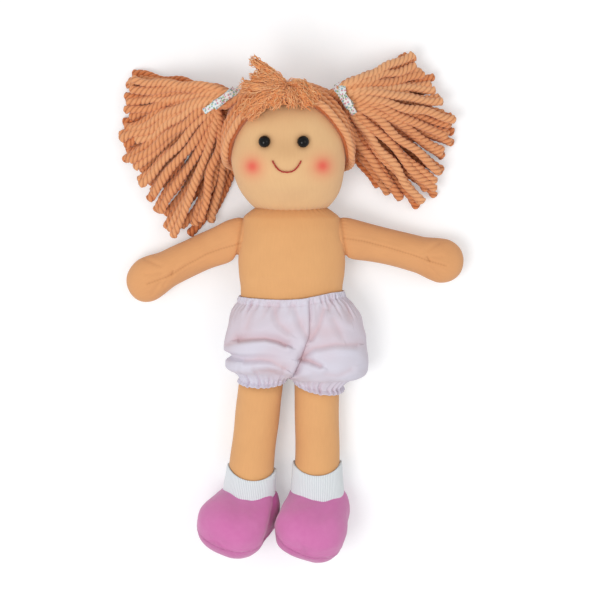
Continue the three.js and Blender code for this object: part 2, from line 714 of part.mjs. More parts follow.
// The room inside a cloth form, run on past its open ends so that it cuts right through.
function clothRoom(sections, openStart, openEnd) {
  const inner = sections.map((section) => insetSection(section, clothWall));
  const beyond = (from, to) => {
    const away = to.centre.clone().sub(from.centre).setLength(1);
    return { ...to, centre: to.centre.clone().add(away) };
  };
  const before = openStart ? [beyond(inner[1], inner[0])] : [];
  const after = openEnd ? [beyond(inner.at(-2), inner.at(-1))] : [];
  if (!openEnd) {
    inner.at(-1).centre = inner.at(-1).centre.clone().add(vec(0, clothWall, 0));
  }
  return [...before, ...inner, ...after];
}

function closedForm(sections, sides) {
  return toSolid(loft(sections, sides, sections[0].centre, sections.at(-1).centre));
}

const waistCloth = waistForm();
const clothOuter = [closedForm(waistCloth, 4 * waistGathers)];
const clothInner = [closedForm(clothRoom(waistCloth, true, false), 4 * waistGathers)];
for (const side of ['left', 'right']) {
  const cuffCloth = cuffForm(side);
  clothOuter.push(closedForm(cuffCloth, 4 * cuffGathers));
  clothInner.push(closedForm(clothRoom(cuffCloth, false, true), 4 * cuffGathers));
}
const joined = (solids) => solids.reduce((whole, solid) => whole.add(solid));
const bloomers = joined(clothOuter).subtract(joined(clothInner)).intersect(aboveFloor);

// The plan of everything on the left of the front seam, moved sideways by half the gap.
function leftOfSeam(shift) {
  const outline = [
    [frontSeamTopX, 0], [frontSeamTopX, frontSeamTurnY], [frontSeamCuffX, frontSeamCuffY],
    [frontSeamCuffX, -BIG / 4], [BIG / 4, -BIG / 4], [BIG / 4, 0],
  ];
  const shape = new THREE.Shape(outline.map(([x, y]) => new THREE.Vector2(x + shift, y)));
  return toSolid(new THREE.ExtrudeGeometry(shape, { depth: 4 * bodyHalfDepth, bevelEnabled: false }));
}

const leftPanel = bloomers.intersect(leftOfSeam(gap / 2));
const rightPanel = bloomers.subtract(leftOfSeam(-gap / 2));
addPart('bloomers_left_panel', toGeometry(leftPanel), colours.cotton);
addPart('bloomers_right_panel', toGeometry(rightPanel), colours.cotton);

// Bunches: a knot of yarn seated on the cap, with strands that fan out to the floor
function capPoint(sign, y, height) {
  const section = headSection(y, capOuterGrow);
  const up = (height - section.centre.z) / section.b;
  return vec(section.centre.x + sign * section.a * Math.sqrt(1 - up * up), y, height);
}

function capNormal(sign, y, height) {
  const reach = 0.5;
  const alongY = capPoint(sign, y + reach, height).sub(capPoint(sign, y - reach, height));
  const alongZ = capPoint(sign, y, height + reach).sub(capPoint(sign, y, height - reach));
  return alongY.cross(alongZ).multiplyScalar(sign).normalize();
}

function knotCentre(side) {
  const sign = side === 'left' ? 1 : -1;
  const seat = capPoint(sign, knotSeatY, knotSeatHeight);
  return seat.addScaledVector(capNormal(sign, knotSeatY, knotSeatHeight), knotRadius + gap - knotSettle);
}

const headClear = headSolid(capHemY - 6, capOuterGrow + 2 * gap, headSides, 4, 5);
for (const side of ['left', 'right']) {
  const sign = side === 'left' ? 1 : -1;
  const knot = knotCentre(side);
  const spread = fan[side];
  const heading = (degrees) => {
    const angle = THREE.MathUtils.degToRad(degrees);
    return vec(sign * Math.cos(angle), Math.sin(angle), 0);
  };
  const ball = new THREE.SphereGeometry(knotRadius, 14, 8);
  ball.translate(knot.x, knot.y, knot.z);
  let yarn = toSolid(ball);
  for (let layer = 0; layer < bunchLayers; layer += 1) {
    for (let k = 0; k < strandsPerLayer; k += 1) {
      const share = (k + 0.5 * layer) / (strandsPerLayer - 1 + 0.5 * (bunchLayers - 1));
      const way = heading(spread.from + (spread.to - spread.from) * share);
      const length = spread.near + (spread.far - spread.near) * share - strandShortening * layer;
      const tipHeight = yarnRadius - restFlat + layer * layerRise * yarnRadius;
      const bend = knot.clone().addScaledVector(way, length * bendShare);
      bend.setZ(knot.z * bendHeightShare + tipHeight / 2);
      const tip = knot.clone().addScaledVector(way, length).setZ(tipHeight);
      const curve = new THREE.QuadraticBezierCurve3(knot, bend, tip);
      yarn = yarn.add(toSolid(strand(curve, () => yarnRadius, strandSides, strandSteps)));
    }
  }
  const axis = heading((spread.from + spread.to) / 2);
  const grooveRadius = knotRadius - tieSink - tieWall - gap;
  const band = (inner, outer, halfWidth) => turned([
    [inner, -halfWidth], [outer, -halfWidth], [outer, halfWidth], [inner, halfWidth], [inner, -halfWidth],
  ], torsoSides, knot, axis);
  yarn = yarn.subtract(headClear).intersect(aboveFloor);
  yarn = yarn.subtract(toSolid(band(grooveRadius, knotRadius * 2, tieWidth / 2 + gap)));
  addPart(`${side}_hair_bunch`, toGeometry(yarn), colours.yarn);
  const ringRadius = knotRadius - tieSink;
  const ring = toSolid(band(ringRadius - tieWall, ringRadius, tieWidth / 2));
  const tails = tieTailHeadings.map((degrees) => {
    const way = heading(degrees);
    const aside = way.clone().cross(UP);
    const tailHeight = knot.z + ringRadius - tieWall / 2;
    const sections = steps(0, 1, 4).map((share) => ({
      centre: knot.clone().addScaledVector(way, tieTailLength * share).setZ(tailHeight),
      u: aside,
      v: UP,
      a: (tieWidth / 2) * (0.7 + 0.5 * share),
      b: tieWall / 2,
    }));
    sections.forEach((section, i) => section.centre.add(vec(0, 0, tailWave[i])));
    return toSolid(loft(sections, 8, sections[0].centre, sections.at(-1).centre));
  });
  addPart(`${side}_hair_tie`, toGeometry(joined([ring, ...tails])), colours.ribbon);
}

// Fringe: locks from one root over the forehead, lying on the cap and the face
const fringeRoot = facePoint(fringeRootX, fringeRootY, capOuterGrow);
const capFront = halfSpace(vec(0, headMidY, capEdgeHeight + 2 * gap), vec(0, -capEdgeSlope, 1));
const fringeClear = headClear.subtract(capFront).add(headSolid(capHemY - 6, gap, headSides, 4, 5));
const locks = fringeTips.map((tip) => {
  const bend = fringeRoot.clone().lerp(tip, 0.5).add(vec(0, 0, fringeLift));
  const curve = new THREE.QuadraticBezierCurve3(fringeRoot, bend, tip);
  return toSolid(strand(curve, (share) => fringeLock * (1 - 0.5 * share), strandSides, strandSteps));
});
addPart('hair_fringe', toGeometry(joined(locks).subtract(fringeClear)), colours.fringe);

export default doll;
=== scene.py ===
"""Looks of a soft rag doll that lies on its back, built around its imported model.

Places are in metres in the model's own frame: +X is the doll's left, +Y runs towards its head and
+Z points out of its front. Sizes are written as millimetres times MM.
"""

import logging
import math
from dataclasses import dataclass, field, replace
from enum import Enum
from typing import Any, Sequence

import bpy
import numpy as np
from mathutils import Matrix, Vector
from numpy.typing import NDArray


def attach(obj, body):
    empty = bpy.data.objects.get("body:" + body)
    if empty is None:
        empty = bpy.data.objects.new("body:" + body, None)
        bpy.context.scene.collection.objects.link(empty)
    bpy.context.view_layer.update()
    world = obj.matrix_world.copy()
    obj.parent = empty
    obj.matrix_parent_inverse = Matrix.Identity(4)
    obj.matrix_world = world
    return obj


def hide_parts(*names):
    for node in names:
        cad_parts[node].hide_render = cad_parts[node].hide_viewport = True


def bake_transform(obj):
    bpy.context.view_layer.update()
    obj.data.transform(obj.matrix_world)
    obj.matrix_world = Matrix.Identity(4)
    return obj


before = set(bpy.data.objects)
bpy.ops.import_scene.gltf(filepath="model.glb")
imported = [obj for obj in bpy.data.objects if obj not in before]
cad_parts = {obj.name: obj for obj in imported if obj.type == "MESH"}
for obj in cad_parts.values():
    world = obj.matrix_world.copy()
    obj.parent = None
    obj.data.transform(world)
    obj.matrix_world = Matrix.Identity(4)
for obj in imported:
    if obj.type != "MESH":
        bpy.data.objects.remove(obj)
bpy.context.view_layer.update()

LOG = logging.getLogger("rag_doll")
MM = 0.001
UP = np.array([0.0, 0.0, 1.0])
SIDEWAYS = np.array([1.0, 0.0, 0.0])

Array = NDArray[np.float64]
Colour = tuple[float, float, float, float]
Pairs = tuple[tuple[float, float], ...]
Rows = tuple[tuple[float, ...], ...]
Piece = bpy.types.Object


class Side(Enum):
    """The doll's own left and right."""

    LEFT = "left"
    RIGHT = "right"

    @property
    def sign(self) -> int:
        """Which way along X this side lies."""
        return 1 if self is Side.LEFT else -1


def by_side(left: Any, right: Any) -> Any:
    """A field with one value for the doll's left and one for its right."""
    return field(default_factory=lambda: {Side.LEFT: left, Side.RIGHT: right})


def paint(red: float, green: float, blue: float) -> Colour:
    """A colour as a screen shows it, 0 to 255, turned to the linear values that shaders take.

    Args:
        red: Red as shown.
        green: Green as shown.
        blue: Blue as shown.

    Returns:
        Linear red, green, blue and an alpha of 1.
    """
    shown = np.array([red, green, blue]) / 255.0
    linear = np.where(shown <= 0.04045, shown / 12.92, ((shown + 0.055) / 1.055) ** 2.4)
    return float(linear[0]), float(linear[1]), float(linear[2]), 1.0


def shaded(colour: Colour, times: float, more: float = 0.0) -> Colour:
    """A colour times one number plus another, no part above 1."""
    return tuple(min(1.0, part * times + more) for part in colour[:3]) + (1.0,)


class Socket:
    """A shader socket that is added, multiplied and compared like a number."""

    def __init__(self, shader: "Shader", socket: bpy.types.NodeSocket) -> None:
        """Keeps the socket and the shader that it belongs to."""
        self.shader = shader
        self.socket = socket

    def math(self, operation: str, *values: Any) -> "Socket":
        """Adds one Math node.

        Args:
            operation: The Math node's operation.
            values: Its inputs in order, sockets or numbers.

        Returns:
            The result's socket.
        """
        inputs = dict(enumerate(values))
        return self.shader.out(self.shader.node("ShaderNodeMath", {"operation": operation}, inputs))

    def __add__(self, other: Any) -> "Socket":
        """Self plus other."""
        return self.math("ADD", self, other)

    def __sub__(self, other: Any) -> "Socket":
        """Self minus other."""
        return self.math("SUBTRACT", self, other)

    def __rsub__(self, other: Any) -> "Socket":
        """Other minus self."""
        return self.math("SUBTRACT", other, self)

    def __mul__(self, other: Any) -> "Socket":
        """Self times other."""
        return self.math("MULTIPLY", self, other)

    __radd__ = __add__
    __rmul__ = __mul__

    def sine(self) -> "Socket":
        """The sine of self in radians."""
        return self.math("SINE", self)

    def below(self, limit: Any) -> "Socket":
        """1 where self is less than the limit, else 0."""
        return self.math("LESS_THAN", self, limit)


class Shader:
    """A material's node tree with its Principled shader."""

    def __init__(self, name: str) -> None:
        """Makes an empty material that ends in a Principled shader."""
        self.material = bpy.data.materials.new(name)
        self.material.use_nodes = True
        self.tree = self.material.node_tree
        self.tree.nodes.clear()
        self.surface = self.node("ShaderNodeBsdfPrincipled")
        output = self.node("ShaderNodeOutputMaterial")
        self.tree.links.new(self.surface.outputs["BSDF"], output.inputs["Surface"])

    def node(
        self,
        kind: str,
        settings: dict[str, Any] | None = None,
        inputs: dict[Any, Any] | None = None,
    ) -> bpy.types.Node:
        """Adds one node.

        Args:
            kind: The node's type.
            settings: Its properties, set first. The key stops gives a colour ramp's places and colours.
            inputs: Values or links by socket name or number.

        Returns:
            The new node.
        """
        made = self.tree.nodes.new(kind)
        for name, value in (settings or {}).items():
            if name == "stops":
                self._set_stops(made.color_ramp, value)
            else:
                setattr(made, name, value)
        for key, value in (inputs or {}).items():
            self.feed(made.inputs[key], value)
        return made

    @staticmethod
    def _set_stops(ramp: bpy.types.ColorRamp, stops: Sequence[tuple[float, Colour]]) -> None:
        """Gives a colour ramp its stops."""
        while len(ramp.elements) < len(stops):
            ramp.elements.new(1.0)
        for element, (place, colour) in zip(ramp.elements, stops):
            element.position = place
            element.color = colour

    def feed(self, target: bpy.types.NodeSocket, value: Any) -> None:
        """Links a socket to the target, or sets the target's own value."""
        if isinstance(value, Socket):
            self.tree.links.new(value.socket, target)
        else:
            target.default_value = value

    def out(self, node: bpy.types.Node, key: Any = 0) -> Socket:
        """One output of a node, wrapped."""
        return Socket(self, node.outputs[key])

    def uv(self) -> Socket:
        """The piece's own map, in millimetres round and along it."""
        return self.out(self.node("ShaderNodeTexCoord"), "UV")

    def place(self) -> Socket:
        """Object coordinates in metres."""
        return self.out(self.node("ShaderNodeTexCoord"), "Object")

    def attribute(self, name: str) -> Socket:
        """A number kept on the mesh's points."""
        return self.out(self.node("ShaderNodeAttribute", {"attribute_name": name}), "Fac")

    def split(self, vector: Socket) -> tuple[Socket, Socket, Socket]:
        """A vector's three numbers."""
        parts = self.node("ShaderNodeSeparateXYZ", None, {0: vector})
        return self.out(parts, 0), self.out(parts, 1), self.out(parts, 2)

    def stretch(self, vector: Socket, scale: tuple[float, float, float]) -> Socket:
        """A vector scaled along each axis."""
        inputs = {"Vector": vector, "Scale": scale}
        return self.out(self.node("ShaderNodeMapping", {"vector_type": "POINT"}, inputs))

    def weave(self, pitch: float) -> Socket:
        """Crossed threads: a sine wave round the piece times one along it, a pitch in millimetres apart."""
        across, along, _ = self.split(self.uv())
        turn = math.tau / pitch
        return (across * turn).sine() * (along * turn).sine()

    def noise(self, vector: Socket, scale: float, detail: float = 3.0) -> Socket:
        """Soft noise between 0 and 1."""
        inputs = {"Vector": vector, "Scale": scale, "Detail": detail}
        return self.out(self.node("ShaderNodeTexNoise", None, inputs), "Fac")

    def mix(self, share: Any, first: Any, second: Any) -> Socket:
        """The first colour, turning into the second as the share goes from 0 to 1."""
        inputs = {0: share, 6: first, 7: second}
        return self.out(self.node("ShaderNodeMix", {"data_type": "RGBA"}, inputs), 2)

    def bump(self, height: Socket, depth: float, strength: float = 1.0) -> None:
        """Feeds a height to the Normal through one Bump node, with the depth in metres."""
        inputs = {"Height": height, "Distance": depth, "Strength": strength}
        made = self.out(self.node("ShaderNodeBump", None, inputs))
        self.feed(self.surface.inputs["Normal"], made)

    def set(self, **values: Any) -> None:
        """Sets the Principled shader's sockets, with underscores for the spaces in their names."""
        names = {name.replace("_", " ").lower(): value for name, value in values.items()}
        for socket in self.surface.inputs:
            if socket.name.lower() in names:
                self.feed(socket, names[socket.name.lower()])


@dataclass(frozen=True)
class Finish:
    """A material and the record's slot that it belongs to."""

    slot: str
    colour: Colour

    def build(self, shader: Shader) -> None:
        """Fills in the shader. Each finish has its own."""
        raise NotImplementedError

    def material(self) -> bpy.types.Material:
        """The finished material, made once for each finish of the palette."""
        name = "_".join([self.slot, *(f"{part:.3f}" for part in self.colour[:3])])
        if name in bpy.data.materials:
            return bpy.data.materials[name]
        shader = Shader(name)
        self.build(shader)
        return shader.material


@dataclass(frozen=True)
class Jersey(Finish):
    """Fine knitted skin cloth: faint wales and courses, a soft nap, blush, and painted shade in seams,
    dimples and creases from the mesh.
    """

    pitch: float = 0.62
    blush: Colour = paint(232, 84, 74)
    shade: Colour = paint(150, 92, 52)
    nap: float = 0.25

    def build(self, shader: Shader) -> None:
        """Colour from noise, blush and shade; bump from crossed sine waves one stitch apart."""
        across, along, _ = shader.split(shader.uv())
        turn = math.tau / self.pitch
        wale = (across * turn).sine()
        course = (along * turn * 1.15).sine()
        knit = wale * 0.5 + course * 0.35
        uneven = shader.noise(shader.place(), 55.0, 4.0)
        thread = shader.noise(shader.stretch(shader.uv(), (0.9, 0.12, 1.0)), 1.0, 2.0)
        lift = (uneven - 0.5) * 0.16 + knit * 0.022 + (thread - 0.5) * 0.10
        cloth = shader.mix(lift + 0.5, shaded(self.colour, 0.58), shaded(self.colour, 1.45))
        cloth = shader.mix(shader.attribute("blush"), cloth, self.blush)
        # Painted shade from the mesh: eye dimples, the mouth line, the middle of the face, seams, creases
        # and the chin's shadow on the torso.
        cloth = shader.mix(shader.attribute("shade"), cloth, self.shade)
        grain = knit * 0.5 + (shader.noise(shader.uv(), 2.4, 2.0) - 0.5) * 0.9
        shader.bump(grain, 0.06 * MM, 0.8)
        shader.set(Base_Color=cloth, Roughness=0.88, Sheen_Weight=self.nap, Sheen_Roughness=0.5)
        shader.set(Specular_IOR_Level=0.2)


@dataclass(frozen=True)
class Yarn(Finish):
    """Thick plied yarn: strands a little lighter or darker, at random and as painted light and shade;
    painted shade between plies; fine fibres.
    """

    # Painted shade: the colour in the grooves between plies.
    deep: Colour = paint(150, 68, 34)
    pale: Colour = paint(244, 188, 138)

    def build(self, shader: Shader) -> None:
        """Colour from each strand's own number, painted shade in its grooves, and fibres that slant with
        the twist.
        """
        strand = shader.attribute("strand")
        groove = shader.attribute("groove")
        fibres = shader.noise(shader.stretch(shader.uv(), (2.6, 0.55, 1.0)), 1.0, 3.0)
        # Paler strands: a random tone, with painted light on the upper strands of a bunch.
        body = shader.mix(strand * 0.85, self.colour, self.pale)
        body = shader.mix((fibres - 0.42) * 0.9, body, self.pale)
        # Painted shade in the grooves between plies, less on the paler strands.
        body = shader.mix(groove * (0.78 - strand * 0.45), body, self.deep)
        shader.bump(fibres, 0.25 * MM, 0.9)
        shader.set(Base_Color=body, Roughness=0.92, Sheen_Weight=0.35, Sheen_Roughness=0.45)
        shader.set(Specular_IOR_Level=0.15)


@dataclass(frozen=True)
class Cotton(Finish):
    """Thin plain-weave cotton, nearly white, warmer where skin shows through it and with pinkish painted
    shade in its folds and gathers.
    """

    # Pinkish: the tint of skin through the cloth, and of painted shade in folds and gathers.
    warm: Colour = paint(212, 184, 190)

    def build(self, shader: Shader) -> None:
        """Crossed threads half a millimetre apart, slubs, and a pinkish tint from the mesh: skin showing
        through and painted shade.
        """
        weave = shader.weave(0.5)
        slubs = shader.noise(shader.stretch(shader.uv(), (0.25, 2.2, 1.0)), 1.0, 3.0)
        cloth = shader.mix(shader.attribute("warm"), self.colour, self.warm)
        cloth = shader.mix((slubs - 0.5) * 0.5 + weave * 0.05, cloth, shaded(self.colour, 0.84))
        shader.bump(weave * 0.5 + slubs * 0.7, 0.05 * MM, 0.7)
        shader.set(Base_Color=cloth, Roughness=0.82, Sheen_Weight=0.1, Specular_IOR_Level=0.2)


@dataclass(frozen=True)
class RibKnit(Finish):
    """White ribbed knit: grey painted shade in the channels, soft loops along the ribs."""

    channel_shade: Colour = paint(186, 194, 198)

    def build(self, shader: Shader) -> None:
        """Painted shade in the channels from the mesh, and small loops stacked along each rib with painted
        shade between them.
        """
        _, along, _ = shader.split(shader.uv())
        loops = (along * (math.tau / 0.9)).sine() * 0.5 + 0.5
        fuzz = shader.noise(shader.uv(), 1.7, 3.0)
        cloth = shader.mix(shader.attribute("groove") * 0.8, self.colour, self.channel_shade)
        # Painted shade between the loops.
        cloth = shader.mix((1 - loops) * 0.12, cloth, self.channel_shade)
        shader.bump(loops * 0.6 + fuzz * 0.6, 0.12 * MM, 0.8)
        shader.set(Base_Color=cloth, Roughness=0.9, Sheen_Weight=0.2, Specular_IOR_Level=0.2)


@dataclass(frozen=True)
class ShoeCloth(Finish):
    """Soft brushed pink cloth with a fine nap and stitched seams."""

    # The colour of the seams' stitches and of the painted shade on the inner side.
    deep: Colour = paint(172, 54, 128)
    pale: Colour = paint(228, 152, 198)

    def build(self, shader: Shader) -> None:
        """Brushed noise at two scales; from the mesh, a darker thread in each seam and painted shade on the
        inner side.
        """
        brushed = shader.noise(shader.place(), 240.0, 4.0)
        cloudy = shader.noise(shader.place(), 40.0, 3.0)
        cloth = shader.mix((cloudy - 0.5) * 0.35 + (brushed - 0.5) * 0.25 + 0.12, self.colour, self.pale)
        cloth = shader.mix(shader.attribute("shade") * 0.75, cloth, self.deep)
        shader.bump(brushed * 0.7 + shader.weave(0.6) * 0.35, 0.09 * MM, 0.8)
        shader.set(Base_Color=cloth, Roughness=0.9, Sheen_Weight=0.45, Sheen_Roughness=0.5)
        shader.set(Specular_IOR_Level=0.15)


@dataclass(frozen=True)
class PrintedRibbon(Finish):
    """White woven strip with a scatter of small five-petalled flowers and dots."""

    cell: float = 2.1
    inks: tuple[tuple[float, Colour], ...] = (
        (0.0, paint(58, 150, 110)), (0.28, paint(92, 176, 206)), (0.5, paint(206, 96, 150)),
        (0.72, paint(74, 92, 84)), (0.86, paint(130, 190, 120)),
    )

    def build(self, shader: Shader) -> None:
        """Each cell holds one flower, its radius waving five times round, in a colour of its own."""
        flat = shader.stretch(shader.uv(), (1 / self.cell, 1 / self.cell, 0.0))
        cells = shader.node("ShaderNodeTexVoronoi", {"voronoi_dimensions": "2D"}, {"Vector": flat})
        cells.inputs["Scale"].default_value = 1.0
        cells.inputs["Randomness"].default_value = 0.7
        away = shader.node("ShaderNodeVectorMath", {"operation": "SUBTRACT"}, {0: flat})
        shader.feed(away.inputs[1], shader.out(cells, "Position"))
        right, up, _ = shader.split(shader.out(away))
        petals = (up.math("ARCTAN2", up, right) * 5).sine() * 0.1 + 0.3
        distance = shader.out(cells, "Distance")
        flower = distance.below(petals)
        heart = distance.below(0.1)
        pick = shader.node("ShaderNodeValToRGB", {"stops": self.inks})
        pick.color_ramp.interpolation = "CONSTANT"
        chance, _, _ = shader.split(shader.out(cells, "Color"))
        shader.feed(pick.inputs[0], chance)
        cloth = shader.mix(flower, self.colour, shader.out(pick))
        cloth = shader.mix(heart, cloth, paint(236, 214, 120))
        shader.bump(shader.weave(math.tau / 14), 0.05 * MM, 0.6)
        shader.set(Base_Color=cloth, Roughness=0.75, Specular_IOR_Level=0.25)


@dataclass(frozen=True)
class Thread(Finish):
    """Stranded thread with a tight twist."""

    def build(self, shader: Shader) -> None:
        """Slanting waves give the twist, with painted light paling its crowns, and noise gives a few paler
        fibres.
        """
        around, along, _ = shader.split(shader.uv())
        twist = ((along * 5.0) + (around * 2.0)).sine() * 0.5 + 0.5
        fibres = shader.noise(shader.uv(), 3.0, 2.0)
        pale = shaded(self.colour, 1.9, 0.02)
        shader.bump(twist, 0.08 * MM, 0.8)
        # Painted light: paler on the crowns of the twist.
        shader.set(Base_Color=shader.mix(twist * 0.3 + fibres * 0.25, self.colour, pale), Roughness=0.7)


@dataclass(frozen=True)
class Moulded(Finish):
    """Plain moulded nylon with a fine matt grain."""

    def build(self, shader: Shader) -> None:
        """Grain in the colour, the roughness and the bump."""
        grain = shader.noise(shader.place(), 1400.0, 3.0)
        shader.bump(grain, 0.04 * MM, 0.5)
        colour = shader.mix(grain, self.colour, shaded(self.colour, 0.8))
        shader.set(Base_Color=colour, Roughness=grain * 0.15 + 0.4)


@dataclass(frozen=True)
class Gloss(Finish):
    """Moulded glossy plastic with faint handling marks."""

    roughness: float = 0.07

    def build(self, shader: Shader) -> None:
        """A clear coat over dark plastic, whose roughness wanders a little."""
        marks = shader.noise(shader.place(), 900.0, 3.0)
        shader.set(Base_Color=shader.mix(marks, self.colour, shaded(self.colour, 1.0, 0.01)))
        shader.set(Roughness=marks * 0.06 + self.roughness, Coat_Weight=0.12, Coat_Roughness=0.03)
        shader.set(Specular_IOR_Level=0.12)


class Palette:
    """The finishes of this doll's own materials."""

    face = Jersey("skin_jersey", paint(254, 184, 134))
    skin = Jersey("skin_jersey", paint(243, 168, 113), nap=0.2)
    # Painted shade: the arms are the same jersey, made darker to stand for the shade on them.
    arm = Jersey("skin_jersey", paint(236, 161, 109), nap=0.2)
    hair = Yarn("hair_yarn", paint(222, 130, 76))
    fringe = Yarn("fringe_yarn", paint(246, 160, 90), deep=paint(216, 114, 54), pale=paint(255, 206, 152))
    cotton = Cotton("bloomers_cotton", paint(218, 216, 229))
    rib = RibKnit("sock_rib", paint(236, 240, 242))
    shoe = ShoeCloth("shoe_cloth", paint(208, 114, 172))
    sole = ShoeCloth("shoe_cloth", paint(198, 102, 162))
    ribbon = PrintedRibbon("tie_ribbon", paint(240, 242, 240))
    mouth = Thread("mouth_thread", paint(160, 40, 32))
    eye = Gloss("eye_plastic", paint(4, 4, 5))
    washer = Moulded("washer_plastic", paint(226, 226, 222))


def unit(vectors: Array) -> Array:
    """Vectors of length 1 along the last axis."""
    return vectors / np.maximum(np.linalg.norm(vectors, axis=-1, keepdims=True), 1e-12)


def ease(low: float, high: float, values: Array) -> Array:
    """Rises from 0 to 1 between low and high, level at both ends: 3t squared minus 2t cubed."""
    share = np.clip((values - low) / (high - low), 0.0, 1.0)
    return share * share * (3 - 2 * share)


def bell(distance: Array, width: float) -> Array:
    """1 at no distance and falling away like a bell of that width."""
    return np.exp(-((distance / width) ** 2))


def curve_through(table: Array, at: Array) -> Array:
    """Smooth values between the rows of a table: piecewise cubics whose slopes never overshoot.

    The slope at each row is the harmonic mean of its two neighbours' slopes, or 0 at a peak.

    Args:
        table: Rows of a place, rising, and the values there.
        at: Where values are wanted.

    Returns:
        One row of values for each place asked for.
    """
    x, y = table[:, 0], table[:, 1:]
    step = np.diff(x)[:, None]
    rise = np.diff(y, axis=0) / step
    before, after = rise[:-1], rise[1:]
    same = before * after > 0
    total = np.where(same, before + after, 1.0)
    inner = np.where(same, 2 * before * after / total, 0.0)
    slope = np.concatenate([rise[:1], inner, rise[-1:]])
    at = np.clip(at, x[0], x[-1])
    k = np.clip(np.searchsorted(x, at, side="right") - 1, 0, len(x) - 2)
    h = step[k]
    t = ((at - x[k])[:, None]) / h
    value = (2 * t**3 - 3 * t**2 + 1) * y[k] + (t**3 - 2 * t**2 + t) * h * slope[k]
    return value + (3 * t**2 - 2 * t**3) * y[k + 1] + (t**3 - t**2) * h * slope[k + 1]


def to_line(points: Array, line: Sequence[tuple[float, float]]) -> tuple[Array, Array]:
    """Distance in plan from points to a broken line, and whether each lies on the line's left.

    Args:
        points: Points with X and Y first.
        line: The line's corners.

    Returns:
        The distances, and true where a point lies to the left of the nearest stretch.
    """
    best = np.full(points.shape[:-1], 1e9)
    left = np.zeros(points.shape[:-1], bool)
    corners = np.asarray(line, float)
    for start, end in zip(corners[:-1], corners[1:]):
        along = end - start
        offset = points[..., :2] - start
        share = np.clip(offset @ along / (along @ along), 0, 1)
        gap = np.linalg.norm(offset - share[..., None] * along, axis=-1)
        turned = along[0] * offset[..., 1] - along[1] * offset[..., 0] > 0
        left = np.where(gap < best, turned, left)
        best = np.minimum(best, gap)
    return best, left


def running(steps: Array) -> Array:
    """The running total of some steps, from 0."""
    return np.concatenate([[0.0], np.cumsum(steps)])


def lengths_along(line: Array) -> Array:
    """How far along a line each of its points lies."""
    return running(np.linalg.norm(np.diff(line, axis=0), axis=1))


def wander(points: Array, size: float, seed: int) -> Array:
    """Soft seeded unevenness between about -1 and 1: six sine waves in random directions.

    Args:
        points: Points in metres.
        size: Length of the waves in metres.
        seed: Seed of the random directions.

    Returns:
        One number for each point.
    """
    draw = np.random.default_rng(seed)
    ways = unit(draw.normal(size=(6, 3))) * (math.tau / size) * draw.uniform(0.6, 1.4, (6, 1))
    phases = draw.uniform(0, math.tau, 6)
    return np.sin(points @ ways.T + phases).sum(-1) / 3.0


@dataclass
class Sheet:
    """A surface worked out on a grid of rows and columns.

    Closed sheets go round and meet themselves; capped ones have a fan over their first and last rows.
    """

    points: Array
    uv: Array | None = None
    closed: bool = True
    capped: bool = False
    numbers: dict[str, Array] = field(default_factory=dict)

    def normals(self) -> Array:
        """Outward unit normals on the grid, from the slopes along its rows and columns."""
        if self.closed:
            ring = np.concatenate([self.points[:, -1:], self.points, self.points[:, :1]], axis=1)
            across = ring[:, 2:] - ring[:, :-2]
        else:
            across = np.gradient(self.points, axis=1)
        along = np.gradient(self.points, axis=0)
        found = unit(np.cross(across, along))
        middle = self.points.mean(axis=(0, 1), keepdims=True)
        outward = np.sign(((self.points - middle) * found).sum(-1).mean())
        return found * (outward if outward != 0 else 1.0)

    def pushed(self, distance: Array) -> "Sheet":
        """The same surface moved along its normals by a distance at each point."""
        moved = self.points + self.normals() * np.asarray(distance)[..., None]
        return replace(self, points=moved)

    def lengths(self) -> Array:
        """A map in millimetres: round each row and along each column, from real lengths."""
        ring = np.concatenate([self.points, self.points[:, :1]], axis=1) if self.closed else self.points
        across = running(np.linalg.norm(np.diff(ring, axis=1), axis=-1).mean(axis=0))
        return np.stack(np.meshgrid(across / MM, self.down() / MM), -1)

    def down(self) -> Array:
        """How far down the columns each row lies, on average."""
        return running(np.linalg.norm(np.diff(self.points, axis=0), axis=-1).mean(axis=1))


